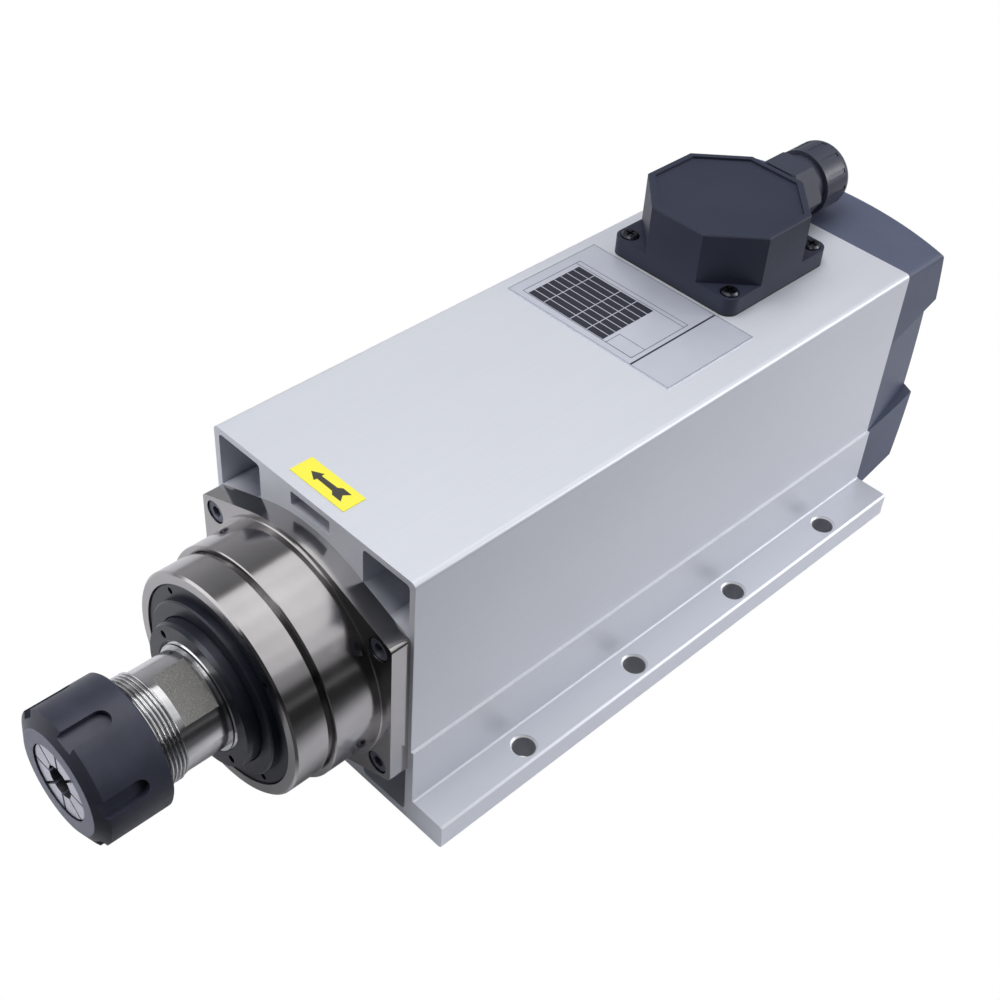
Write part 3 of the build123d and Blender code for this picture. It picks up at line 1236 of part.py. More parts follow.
def collet_nut():
    """Clamping nut: threaded bore, inner cone for the collet and six slots for the wrench."""
    face = FRONT - NUT_END
    rear = FRONT - NUT_START
    thread_end = FRONT - NUT_THREAD_END
    thread_r = SHAFT_THREAD_R + FIT_GAP
    cone_r = collet_head_r() + 2 * CONE_GAP
    cone_length = (cone_r - NUT_MOUTH_R) / tan(radians(NUT_CONE_ANGLE))
    room_r = COLLET_LARGE_R + RUNNING_GAP
    outline = [
        (NUT_MOUTH_R, face),
        (NUT_FACE_R, face),
        (NUT_R, FRONT - NUT_SHOULDER_END),
        (NUT_R, rear - EDGE),
        (NUT_R - EDGE, rear),
        (thread_r + THREAD_LEAD_IN, rear),
        (thread_r, rear - THREAD_LEAD_IN),
        (thread_r, thread_end),
        (room_r, thread_end),
        (room_r, collet_groove() + EDGE),
        (cone_r, collet_groove()),
        (NUT_MOUTH_R, collet_groove() - cone_length),
    ]
    nut = turned(outline)
    slot_floor = NUT_R - NUT_SLOT_DEPTH
    section = Pos(slot_floor + NUT_SLOT_DEPTH, 0) * Rectangle(2 * NUT_SLOT_DEPTH, NUT_SLOT_WIDTH)
    slot_start = FRONT - NUT_SLOT_START - NUT_SLOT_WIDTH / 2
    for turn in around(NUT_SLOT_COUNT, NUT_SLOT_ANGLE):
        nut -= along_y(on_axis(Rot(0, 0, turn) * section), face - OVERCUT, slot_start)
        x, z = polar(slot_floor, turn)
        outward = (cos(radians(turn)), 0, sin(radians(turn)))
        end_plane = Plane(origin=(x, slot_start, z), x_dir=(0, 1, 0), z_dir=outward)
        nut -= extrude(end_plane * Circle(NUT_SLOT_WIDTH / 2), 2 * NUT_SLOT_DEPTH)
    return nut


def top_plate(x, width, start, length):
    """Thin plate or label lying on the body's top face, from start towards the fan."""
    return Pos(x, start + length / 2, BODY_TOP) * extrude(Rectangle(width, length), PLATE_THICKNESS)


def write_housing_side():
    """Nodes that stand still."""
    front_rings = [bearing_rings(*FRONT_BEARING, y)[0] for y in front_bearing_stations()]
    save("housing_extrusion", housing_extrusion())
    save("front_bearing_housing", front_bearing_housing())
    save("flange_screws", *flange_screws())
    save("front_clamp_ring", front_clamp_ring())
    save("front_bearing_outer_rings", *front_rings)
    save("rear_bearing_outer_ring", bearing_rings(*REAR_BEARING, REAR_BEARING_START)[0])
    save("stator_core", stator_core())
    save("stator_windings", stator_windings())
    save("motor_leads", *motor_leads())
    save("rear_bearing_housing", rear_bearing_housing())
    save("rear_housing_screws", *rear_housing_screws())
    save("preload_spring", preload_spring())
    save("rear_cover", rear_cover())
    save("cover_screws", *cover_screws())


def write_top_fittings():
    """Terminal box, gland and labels."""
    save("terminal_box", terminal_box())
    save("terminal_gasket", terminal_gasket())
    save("terminal_box_screws", *terminal_box_screws())
    save("terminal_block", terminal_block())
    save("terminal_clamp_screws", *terminal_clamp_screws())
    save("gland_body", gland_body())
    save("gland_washer", gland_washer())
    save("gland_seal", gland_seal())
    save("gland_cap", gland_cap())
    save("nameplate", top_plate(NAMEPLATE_X, NAMEPLATE_WIDTH, NAMEPLATE_START, NAMEPLATE_LENGTH))
    save("arrow_label", top_plate(ARROW_LABEL_X, ARROW_LABEL_WIDTH, ARROW_LABEL_START, ARROW_LABEL_LENGTH))


def write_turning_side():
    """Nodes that turn with the shaft, and the ball sets between the rings."""
    front_rings = [bearing_rings(*FRONT_BEARING, y)[1] for y in front_bearing_stations()]
    save("spindle_shaft", spindle_shaft())
    save("labyrinth_nut", labyrinth_nut())
    save("front_bearing_inner_rings", *front_rings)
    save("rear_bearing_inner_ring", bearing_rings(*REAR_BEARING, REAR_BEARING_START)[1])
    save("rear_locknut", rear_locknut())
    save("rotor_core", rotor_core())
    save("rotor_cage", rotor_cage())
    save("cooling_fan", cooling_fan())
    save("fan_screw", fan_screw())
    front_balls = []
    front_cages = []
    for y in front_bearing_stations():
        front_balls += bearing_balls(*FRONT_BEARING, FRONT_BALL_COUNT, y)
        front_cages.append(ball_cage(*FRONT_BEARING, FRONT_BALL_COUNT, y))
    save("front_balls", *front_balls)
    save("front_ball_cages", *front_cages)
    save("rear_balls", *bearing_balls(*REAR_BEARING, REAR_BALL_COUNT, REAR_BEARING_START))
    save("rear_ball_cage", ball_cage(*REAR_BEARING, REAR_BALL_COUNT, REAR_BEARING_START))


def write_clamping():
    """Collet and its nut."""
    save("collet", collet())
    save("collet_nut", collet_nut())


os.makedirs("parts", exist_ok=True)
write_housing_side()
write_top_fittings()
write_turning_side()
write_clamping()
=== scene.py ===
from math import cos, pi, radians, sin

import bmesh
import bpy
from mathutils import Matrix, Vector


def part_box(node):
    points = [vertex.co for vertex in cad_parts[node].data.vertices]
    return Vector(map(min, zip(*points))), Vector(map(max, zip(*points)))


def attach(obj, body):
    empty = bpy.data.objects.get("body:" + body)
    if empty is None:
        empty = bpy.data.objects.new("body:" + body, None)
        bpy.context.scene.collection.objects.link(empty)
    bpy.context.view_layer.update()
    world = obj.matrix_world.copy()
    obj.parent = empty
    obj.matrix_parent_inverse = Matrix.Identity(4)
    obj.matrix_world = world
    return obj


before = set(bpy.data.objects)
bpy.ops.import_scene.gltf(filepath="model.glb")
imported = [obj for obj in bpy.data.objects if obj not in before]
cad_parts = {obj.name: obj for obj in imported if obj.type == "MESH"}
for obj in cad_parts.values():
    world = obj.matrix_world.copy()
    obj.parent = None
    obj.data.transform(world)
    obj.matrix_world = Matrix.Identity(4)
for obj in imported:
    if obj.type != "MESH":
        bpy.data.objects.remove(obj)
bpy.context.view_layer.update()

# Metres, in the frame's own axes: X across, Y along the spindle with the nose at -Y, Z up.
MM = 0.001
MICRON = 0.001 * MM
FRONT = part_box("housing_extrusion")[0].y
AXIS_Z = 60.0 * MM

# Thread on the shaft's nose, measured forward from the body's front face. Root and crest reach a
# share of the pitch either side. Steps are per turn, and the ridge rises over the fade steps.
THREAD_START = 67.2 * MM
THREAD_END = 96.0 * MM
THREAD_PITCH = 1.5 * MM
THREAD_ROOT_R = 19.08 * MM
THREAD_CREST_R = 19.95 * MM
THREAD_ROOT_SHARE = 0.40
THREAD_CREST_SHARE = 0.08
THREAD_STEPS = 72
THREAD_FADE_STEPS = 24

# Places that take a second colour. HALF is how far the colour reaches either side of its place.

# Wrench flats of the shaft: turn, distance from the axis, and place and length along it
FLAT_ANGLE = 66.0
FLAT_DEPTH = 16.25 * MM
FLAT_DEPTH_HALF = 0.05 * MM
FLAT_MIDDLE = 58.1 * MM
FLAT_LENGTH = 13.2 * MM

# Painted shade in the bore of the collet, and painted light on the front face of its nut
COLLET_BORE_R = 6.0 * MM
COLLET_BORE_SHADE_HALF = 0.15 * MM
NUT_FACE_LIGHT_HALF = 0.1 * MM

# Holes along the foot, with painted shade on their walls and a painted highlight round each broken
# edge, and the ledge along the side with a painted highlight
LEDGE_Z = 38.0 * MM
LEDGE_HIGHLIGHT_HALF = 0.14 * MM
HOLE_X = 61.5 * MM
HOLE_PITCH = 61.0 * MM
HOLE_MIDDLE = 5.2 * MM
HOLE_R = 4.5 * MM
HOLE_WALL_SHADE_HALF = 0.05 * MM
HOLE_HIGHLIGHT_R = 4.86 * MM
HOLE_HIGHLIGHT_HALF = 0.30 * MM

# How far the print lies over its label
PRINT_LIFT = 0.02 * MM

# Print on the nameplate in millimetres, frames and lines as their X and Y limits
PLATE_FRAME = (-45.1, 37.1, 1.4, 50.1)
PLATE_FRAME_LINE = 0.15
DATA_FRAME = (-40.5, 16.3, 4.6, 37.0)
CORNER_FRAME = (3.2, 16.3, 4.6, 12.5)
FRAME_LINE = 0.25
HEAD_LINE = (-40.5, 16.3, 34.5, 34.75)
BAR = (18.2, 19.0, 1.4, 50.1)
TABLE_COLUMNS = (-38.1, -29.6, -15.7, -7.0, 1.65)
TABLE_FRONT = 5.0
TABLE_REAR = 33.9
TABLE_ROWS = 8
TABLE_LINE_HALF = 0.2

# Upper half of the printed arrow, in shares of its label's length and width
ARROW_HALF = [
    (-0.309, 0),
    (-0.157, 0.245),
    (-0.150, 0.105),
    (0.135, 0.122),
    (0.186, 0.25),
    (0.346, 0.25),
]
ARROW_NOTCH = (0.279, 0)

# Camera of the photograph: place, direction in degrees and lens
CAMERA_PLACE = Vector((0.296817, -0.363892, 0.458021))
CAMERA_AZIMUTH = 42.758
CAMERA_ELEVATION = 41.904
CAMERA_ROLL = 4.397
CAMERA_FOCAL_PIXELS = 1545.635
CAMERA_NEAREST = 0.01
IMAGE_PIXELS = 1000
SENSOR = 36.0

# Greys of the dome, each a position along a direction, 0.5 in the middle, and a level
STRIPS_WAY = (0.5, 0, 0)
STRIPS = [
    (0.0, 0.55),
    (0.1, 0.36),
    (0.19, 0.26),
    (0.25, 0.14),
    (0.4, 0.14),
    (0.5, 0.34),
    (1.0, 0.50),
]
DIM_WAY = (0.35, -0.35, 0)
DIM = [(0.62, 1.0), (0.78, 0.15)]
HORIZON_WAY = (-0.6, 0, 1)
HORIZON = [(0.0, 0.55), (0.07, 0.12), (0.2, 0.08), (0.28, 1.0)]
DOME_MIDDLE = 0.5

# Floor: half its side, how far it lies under the part, and the greys of its painted shade to the
# right and in front
FLOOR_HALF = 4.0
FLOOR_DROP = 0.2 * MM
FLOOR_RIGHT_SHADE = [(0.06, 0.86), (0.22, 0.62), (0.33, 0.22)]
FLOOR_FRONT_RIGHT_SHADE = [(0.235, 1.0), (0.285, 0.15)]

# Row of light boxes: corner, way along it, common aim, height and level of each
ROW_START = Vector((-0.80, 0.515, 1.49))
ROW = Vector((2.15, 0.145, -0.58))
ROW_AIM = Vector((-0.245, -0.748, -1.10))
ROW_HEIGHT = 0.85
ROW_LEVELS = (1.30, 1.20, 1.02, 0.80, 0.56)

# Single light boxes: name, place, target, width, height and level
BOXES = [
    ("top_box", (-0.15, -0.25, 1.3), (0, -0.02, 0.06), 0.9, 0.6, 5.4),
    ("front_box", (-0.8, -1.3, 0.5), (0, 0, 0.06), 1.5, 0.95, 1.4),
    ("rear_box", (0.9, 0.9, 0.5), (0.05, 0.1, 0.06), 0.7, 0.5, 5.9),
]


def make_camera():
    """Camera at the photograph's viewing angle."""
    azimuth = radians(CAMERA_AZIMUTH)
    elevation = radians(CAMERA_ELEVATION)
    roll = radians(CAMERA_ROLL)
    back = Vector((sin(azimuth) * cos(elevation), -cos(azimuth) * cos(elevation), sin(elevation)))
    level = Vector((cos(azimuth), sin(azimuth), 0))
    upright = back.cross(level)
    right = cos(roll) * level + sin(roll) * upright
    up = cos(roll) * upright - sin(roll) * level
    data = bpy.data.cameras.new("camera")
    data.sensor_width = SENSOR
    data.lens = CAMERA_FOCAL_PIXELS / IMAGE_PIXELS * SENSOR
    data.clip_start = CAMERA_NEAREST
    camera = bpy.data.objects.new("camera", data)
    turn = Matrix((right, up, back)).transposed().to_4x4()
    camera.matrix_world = Matrix.Translation(CAMERA_PLACE) @ turn
    bpy.context.scene.collection.objects.link(camera)
    bpy.context.scene.camera = camera


def area_light(name, place, target, width, height, radiance, along=(1, 0, 0)):
    """Rectangular soft light aimed at a point, its width lying along a direction."""
    data = bpy.data.lights.new(name, "AREA")
    data.shape = "RECTANGLE"
    data.size = width
    data.size_y = height
    data.energy = radiance * pi * width * height
    lamp = bpy.data.objects.new(name, data)
    away = (Vector(place) - Vector(target)).normalized()
    across = (Vector(along) - away * Vector(along).dot(away)).normalized()
    turn = Matrix((across, away.cross(across), away)).transposed().to_4x4()
    lamp.matrix_world = Matrix.Translation(place) @ turn
    bpy.context.scene.collection.objects.link(lamp)


def color_ramp(tree, value, stops):
    """Colour ramp over a value, each stop a position and a colour."""
    ramp = tree.nodes.new("ShaderNodeValToRGB")
    elements = ramp.color_ramp.elements
    while len(elements) < len(stops):
        elements.new(0.5)
    for element, (position, color) in zip(elements, stops):
        element.position = position
        element.color = (*color, 1)
    tree.links.new(value, ramp.inputs["Fac"])
    return ramp.outputs["Color"]


def grey_ramp(tree, value, stops, tint=1.03):
    """Colour ramp of greys, each stop a position and a level, with blue scaled by the tint."""
    return color_ramp(tree, value, [(place, (grey, grey, grey * tint)) for place, grey in stops])


def along_direction(tree, coordinates, direction, offset):
    """How far a point lies along a direction, plus an offset."""
    lean = tree.nodes.new("ShaderNodeVectorMath")
    lean.operation = "DOT_PRODUCT"
    lean.inputs[1].default_value = direction
    level = tree.nodes.new("ShaderNodeMath")
    level.operation = "ADD"
    level.inputs[1].default_value = offset
    tree.links.new(coordinates, lean.inputs[0])
    tree.links.new(lean.outputs["Value"], level.inputs[0])
    return level.outputs["Value"]


def multiplied(tree, first, second):
    """Product of two colours."""
    product = tree.nodes.new("ShaderNodeVectorMath")
    product.operation = "MULTIPLY"
    tree.links.new(first, product.inputs[0])
    tree.links.new(second, product.inputs[1])
    return product.outputs["Vector"]


def white_for_camera(tree, output, seen, shader):
    """The camera sees white, and the object the shader."""
    mix = tree.nodes.new("ShaderNodeMixShader")
    path = tree.nodes.new("ShaderNodeLightPath")
    tree.links.new(path.outputs["Is Camera Ray"], mix.inputs["Fac"])
    tree.links.new(shader, mix.inputs[1])
    tree.links.new(seen, mix.inputs[2])
    tree.links.new(mix.outputs["Shader"], output.inputs["Surface"])


def make_world():
    """Grey dome with a dark strip above on the left, dark in front on the right and low there."""
    world = bpy.data.worlds.new("studio")
    bpy.context.scene.world = world
    world.use_nodes = True
    tree = world.node_tree
    tree.nodes.clear()
    output = tree.nodes.new("ShaderNodeOutputWorld")
    seen = tree.nodes.new("ShaderNodeBackground")
    seen.inputs["Color"].default_value = (1, 1, 1, 1)
    dome = tree.nodes.new("ShaderNodeBackground")
    place = tree.nodes.new("ShaderNodeTexCoord").outputs["Generated"]
    across = along_direction(tree, place, STRIPS_WAY, DOME_MIDDLE)
    strips = grey_ramp(tree, across, STRIPS)
    front_right = along_direction(tree, place, DIM_WAY, DOME_MIDDLE)
    dim = grey_ramp(tree, front_right, DIM, tint=1.0)
    upward = along_direction(tree, place, HORIZON_WAY, DOME_MIDDLE)
    horizon = grey_ramp(tree, upward, HORIZON, tint=1.0)
    dark = multiplied(tree, dim, horizon)
    tree.links.new(multiplied(tree, strips, dark), dome.inputs["Color"])
    white_for_camera(tree, output, seen.outputs["Background"], dome.outputs["Background"])


def make_floor():
    """Pale sheet with painted shade, darker far to the right and in front on the right."""
    mesh = bpy.data.meshes.new("floor")
    corners = [(x * FLOOR_HALF, y * FLOOR_HALF, 0) for x, y in ((-1, -1), (1, -1), (1, 1), (-1, 1))]
    mesh.from_pydata(corners, [], [(0, 1, 2, 3)])
    floor = bpy.data.objects.new("floor", mesh)
    floor.location = (0, 0, -FLOOR_DROP)
    bpy.context.scene.collection.objects.link(floor)
    material = bpy.data.materials.new("floor")
    material.use_nodes = True
    tree = material.node_tree
    tree.nodes.clear()
    output = tree.nodes.new("ShaderNodeOutputMaterial")
    sheet = tree.nodes.new("ShaderNodeBsdfDiffuse")
    white = tree.nodes.new("ShaderNodeEmission")
    place = tree.nodes.new("ShaderNodeTexCoord").outputs["Object"]
    # painted shade: the floor's grey falls far to the right and in front on the right
    right = grey_ramp(tree, along_direction(tree, place, (1, 0, 0), 0), FLOOR_RIGHT_SHADE)
    front_right = along_direction(tree, place, (1, -1, 0), 0)
    dim = grey_ramp(tree, front_right, FLOOR_FRONT_RIGHT_SHADE, tint=1.0)
    tree.links.new(multiplied(tree, right, dim), sheet.inputs["Color"])
    white_for_camera(tree, output, white.outputs["Emission"], sheet.outputs["BSDF"])
    mesh.materials.append(material)


def make_lights():
    """A long row of soft boxes behind, weaker to the right, and single ones around the part."""
    width = ROW.length / len(ROW_LEVELS)
    for index, level in enumerate(ROW_LEVELS):
        place = ROW_START + ROW * (index + 0.5) / len(ROW_LEVELS)
        area_light(f"row_box_{index}", place, place + ROW_AIM, width, ROW_HEIGHT, level, ROW)
    for box in BOXES:
        area_light(*box)


class Finish:
    """A principled material with short ways to give it texture in the object's own coordinates."""

    def __init__(self, name, color, roughness, metallic=0.0, shine=0.5):
        self.material = bpy.data.materials.new(name)
        self.material.use_nodes = True
        self.tree = self.material.node_tree
        self.shader = self.tree.nodes["Principled BSDF"]
        self.shader.inputs["Base Color"].default_value = (*color, 1)
        self.shader.inputs["Roughness"].default_value = roughness
        self.shader.inputs["Metallic"].default_value = metallic
        self.shader.inputs["Specular IOR Level"].default_value = shine
        self.color = color
        self.roughness = roughness
        self.coordinates = self.tree.nodes.new("ShaderNodeTexCoord")
        self.last_normal = None

    def node(self, kind, **inputs):
        """New node with its inputs set by name or linked."""
        made = self.tree.nodes.new("ShaderNode" + kind)
        for socket, value in inputs.items():
            self.feed(made.inputs[socket], value)
        return made

    def feed(self, socket, value):
        """Links a socket to another, or sets it to a value."""
        if isinstance(value, bpy.types.NodeSocket):
            self.tree.links.new(value, socket)
        else:
            socket.default_value = value

    def math(self, operation, first, second=0.0):
        """Output of a math node."""
        made = self.tree.nodes.new("ShaderNodeMath")
        made.operation = operation
        self.feed(made.inputs[0], first)
        self.feed(made.inputs[1], second)
        return made.outputs["Value"]

    def place(self, stretch):
        """Object coordinates, stretched."""
        mapping = self.node("Mapping", Vector=self.coordinates.outputs["Object"])
        mapping.inputs["Scale"].default_value = stretch
        return mapping.outputs["Vector"]

    def noise(self, scale, stretch=(1, 1, 1), detail=3.0, vector=None):
        """Noise between 0 and 1."""
        source = vector if vector is not None else self.place(stretch)
        made = self.node("TexNoise", Vector=source, Scale=scale, Detail=detail)
        return made.outputs["Fac"]

    def split(self):
        """X, Y and Z of the object coordinates."""
        parts = self.node("SeparateXYZ", Vector=self.coordinates.outputs["Object"])
        return parts.outputs["X"], parts.outputs["Y"], parts.outputs["Z"]

    def hypotenuse(self, first, second):
        """Distance that two distances at right angles make."""
        squares = self.math("ADD", self.math("POWER", first, 2), self.math("POWER", second, 2))
        return self.math("SQRT", squares)

    def axis_distance(self):
        """Distance from the spindle's axis."""
        x, _, z = self.split()
        return self.hypotenuse(x, self.math("SUBTRACT", z, AXIS_Z))

    def turned_lines(self, pitch):
        """Noise that only changes with the distance from the spindle's axis and along it."""
        joined = self.node("CombineXYZ", X=self.axis_distance(), Y=self.split()[1])
        return self.noise(1 / pitch, detail=2.0, vector=joined.outputs["Vector"])

    def near(self, value, centre, half):
        """1 where the value lies within half of the centre."""
        gap = self.math("ABSOLUTE", self.math("SUBTRACT", value, centre))
        return self.math("LESS_THAN", gap, half)

    def band(self, factor, low, high):
        """0 below low, 1 above high, straight between."""
        made = self.node("MapRange", Value=factor)
        made.inputs["From Min"].default_value = low
        made.inputs["From Max"].default_value = high
        return made.outputs["Result"]

    def shade(self, factor, spread):
        """Varies the base colour by a share either side."""
        dark = tuple(c * (1 - spread) for c in self.color)
        light = tuple(min(c * (1 + spread), 1) for c in self.color)
        varied = color_ramp(self.tree, factor, [(0.3, dark), (0.7, light)])
        self.feed(self.shader.inputs["Base Color"], varied)

    def polish(self, factor, spread):
        """Varies the roughness by an amount either side."""
        made = self.node("MapRange", Value=factor)
        made.inputs["To Min"].default_value = self.roughness - spread
        made.inputs["To Max"].default_value = self.roughness + spread
        self.feed(self.shader.inputs["Roughness"], made.outputs["Result"])

    def bump(self, height, depth, strength):
        """Adds relief of a depth in metres."""
        made = self.node("Bump", Height=height)
        made.inputs["Distance"].default_value = depth
        made.inputs["Strength"].default_value = strength
        if self.last_normal is not None:
            self.feed(made.inputs["Normal"], self.last_normal)
        self.last_normal = made.outputs["Normal"]
        self.feed(self.shader.inputs["Normal"], self.last_normal)

    def mix_color(self, factor, color):
        """Lays a second colour over the shaded base where the factor is 1."""
        socket = self.shader.inputs["Base Color"]
        made = self.tree.nodes.new("ShaderNodeMix")
        made.data_type = "RGBA"
        self.feed(made.inputs["Factor"], factor)
        self.feed(made.inputs["A"], socket.links[0].from_socket)
        made.inputs["B"].default_value = (*color, 1)
        self.feed(socket, made.outputs["Result"])


def hole_distance(finish):
    """Distance from the axis of the nearest hole along either side of the foot."""
    x, y, _ = finish.split()
    across = finish.math("SUBTRACT", finish.math("ABSOLUTE", x), HOLE_X)
    station = finish.math("FLOORED_MODULO", finish.math("SUBTRACT", y, HOLE_MIDDLE), HOLE_PITCH)
    along = finish.math("SUBTRACT", station, HOLE_PITCH / 2)
    return finish.hypotenuse(across, along)


def anodised_aluminium():
    """Extruded profile with faint drawn lines along it, painted highlights at ledge and hole edges,
    and painted shade on the hole walls.
    """
    finish = Finish("anodised_aluminium", (0.675, 0.70, 0.765), roughness=0.42, metallic=0.3)
    lines = finish.noise(1.0, (1400, 10, 1400), detail=2.0)
    cloud = finish.noise(14.0, detail=2.0)
    finish.shade(finish.math("MULTIPLY", finish.math("ADD", lines, cloud), 0.5), 0.02)
    finish.polish(lines, 0.04)
    # painted highlight along the ledge on the side
    ledge_highlight = finish.near(finish.split()[2], LEDGE_Z, LEDGE_HIGHLIGHT_HALF)
    finish.mix_color(ledge_highlight, (0.88, 0.90, 0.95))
    distance = hole_distance(finish)
    # painted shade on the walls of the foot's holes
    wall_shade = finish.near(distance, HOLE_R, HOLE_WALL_SHADE_HALF)
    finish.mix_color(wall_shade, (0.43, 0.445, 0.48))
    # painted highlight round the broken edge of each hole
    edge_highlight = finish.near(distance, HOLE_HIGHLIGHT_R, HOLE_HIGHLIGHT_HALF)
    finish.mix_color(edge_highlight, (0.97, 0.98, 1.0))
    grain = finish.noise(2500.0, detail=1.0)
    finish.bump(lines, 6 * MICRON, strength=0.3)
    finish.bump(grain, 8 * MICRON, strength=0.3)
    return finish.material


def nose_steel():
    """Turned and polished steel with a smoky nickel tone."""
    finish = Finish("nose_steel", (0.40, 0.388, 0.392), roughness=0.165, metallic=1.0)
    lines = finish.turned_lines(0.22 * MM)
    cloud = finish.noise(60.0, detail=4.0)
    finish.shade(cloud, 0.06)
    finish.polish(cloud, 0.04)
    finish.bump(lines, 6 * MICRON, strength=0.5)
    return finish.material


def black_steel():
    """Blackened turned steel with a half gloss."""
    finish = Finish("black_steel", (0.018, 0.021, 0.034), roughness=0.36, metallic=0.3)
    lines = finish.turned_lines(0.30 * MM)
    cloud = finish.noise(120.0)
    finish.shade(cloud, 0.18)
    finish.polish(cloud, 0.06)
    finish.bump(lines, 8 * MICRON, strength=0.5)
    return finish.material


def ground_steel():
    """Bright ground shaft with fine rings, its two wrench flats coarser and browner."""
    finish = Finish("ground_steel", (0.60, 0.60, 0.61), roughness=0.15, metallic=1.0)
    lines = finish.turned_lines(0.20 * MM)
    finish.shade(finish.noise(90.0), 0.07)
    x, y, z = finish.split()
    angle = radians(FLAT_ANGLE)
    across = finish.math("MULTIPLY", x, cos(angle))
    up = finish.math("MULTIPLY", finish.math("SUBTRACT", z, AXIS_Z), sin(angle))
    depth = finish.math("ABSOLUTE", finish.math("ADD", across, up))
    flat = finish.math(
        "MULTIPLY",
        finish.near(depth, FLAT_DEPTH, FLAT_DEPTH_HALF),
        finish.near(y, FRONT - FLAT_MIDDLE, FLAT_LENGTH / 2),
    )
    grain = finish.noise(3600.0, detail=4.0)
    finish.mix_color(flat, (0.165, 0.163, 0.158))
    sparkle = finish.band(grain, 0.48, 0.62)
    finish.mix_color(finish.math("MULTIPLY", flat, sparkle), (0.30, 0.297, 0.288))
    rough = finish.math("ADD", finish.roughness, finish.math("MULTIPLY", flat, 0.33))
    rough = finish.math("ADD", rough, finish.math("MULTIPLY", lines, 0.05))
    finish.feed(finish.shader.inputs["Roughness"], rough)
    finish.bump(lines, 6 * MICRON, strength=0.5)
    finish.bump(finish.math("MULTIPLY", grain, flat), 200 * MICRON, strength=0.9)
    return finish.material


def collet_steel():
    """Satin ground steel of the collet, with painted shade in its bore."""
    finish = Finish("collet_steel", (0.66, 0.67, 0.76), roughness=0.34, metallic=0.6)
    lines = finish.turned_lines(0.25 * MM)
    finish.shade(finish.noise(150.0), 0.08)
    # painted shade: darker colour in the collet's bore
    bore_shade = finish.near(finish.axis_distance(), COLLET_BORE_R, COLLET_BORE_SHADE_HALF)
    finish.mix_color(bore_shade, (0.13, 0.13, 0.15))
    finish.polish(lines, 0.06)
    finish.bump(lines, 8 * MICRON, strength=0.5)
    return finish.material


def nut_steel():
    """Satin black nut, with painted light making its turned front face paler."""
    finish = Finish("nut_steel", (0.034, 0.038, 0.060), roughness=0.42, shine=0.35)
    finish.shade(finish.noise(130.0, detail=4.0), 0.15)
    finish.polish(finish.noise(220.0, detail=2.0), 0.06)
    # painted light: paler colour on the nut's front face
    face = finish.near(finish.split()[1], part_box("collet_nut")[0].y, NUT_FACE_LIGHT_HALF)
    finish.mix_color(face, (0.215, 0.228, 0.315))
    finish.bump(finish.turned_lines(0.40 * MM), 10 * MICRON, strength=0.4)
    return finish.material


def plain_steel(name, color, roughness, metallic=1.0):
    """Plain machined steel of rings, balls and screws."""
    finish = Finish(name, color, roughness, metallic)
    finish.shade(finish.noise(200.0), 0.08)
    finish.polish(finish.noise(400.0, detail=2.0), 0.05)
    return finish.material


def moulded_plastic(name, color, roughness, shine=0.5):
    """Moulded plastic with a fine spark texture."""
    finish = Finish(name, color, roughness, shine=shine)
    finish.shade(finish.noise(40.0), 0.05)
    finish.polish(finish.noise(300.0, detail=2.0), 0.04)
    finish.bump(finish.noise(3500.0, detail=2.0), 20 * MICRON, strength=0.5)
    return finish.material


def laminated_steel():
    """Edges of stacked laminations."""
    finish = Finish("laminated_steel", (0.20, 0.20, 0.215), roughness=0.45, metallic=0.8)
    stack = finish.noise(1.0, (3, 2200, 3), detail=1.0)
    finish.shade(stack, 0.2)
    finish.bump(stack, 30 * MICRON, strength=0.7)
    return finish.material


def winding_copper():
    """Varnished copper wires lying round the stator."""
    finish = Finish("winding_copper", (0.48, 0.19, 0.075), roughness=0.32, metallic=0.8)
    wires = finish.turned_lines(0.80 * MM)
    finish.shade(wires, 0.25)
    finish.bump(wires, 300 * MICRON, strength=0.8)
    return finish.material


def rubber():
    """Matt black rubber."""
    finish = Finish("rubber", (0.018, 0.018, 0.02), roughness=0.7)
    finish.shade(finish.noise(100.0), 0.15)
    finish.bump(finish.noise(1500.0, detail=2.0), 20 * MICRON, strength=0.5)
    return finish.material


def label_film(name, color, roughness=0.32, metallic=0.0):
    """Printed film with a slight unevenness."""
    finish = Finish(name, color, roughness, metallic)
    finish.shade(finish.noise(50.0, detail=2.0), 0.02)
    finish.polish(finish.noise(120.0, detail=2.0), 0.04)
    finish.bump(finish.noise(400.0, detail=1.0), 10 * MICRON, strength=0.3)
    return finish.material


def add_piece(name, body, vertices, faces, material, smooth=False):
    """New mesh piece that rides on a body."""
    mesh = bpy.data.meshes.new(name)
    mesh.from_pydata(vertices, [], faces)
    mesh.materials.append(material)
    shape = bmesh.new()
    shape.from_mesh(mesh)
    bmesh.ops.recalc_face_normals(shape, faces=shape.faces)
    for face in shape.faces:
        face.smooth = smooth
    shape.to_mesh(mesh)
    shape.free()
    piece = bpy.data.objects.new(name, mesh)
    bpy.context.scene.collection.objects.link(piece)
    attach(piece, body)


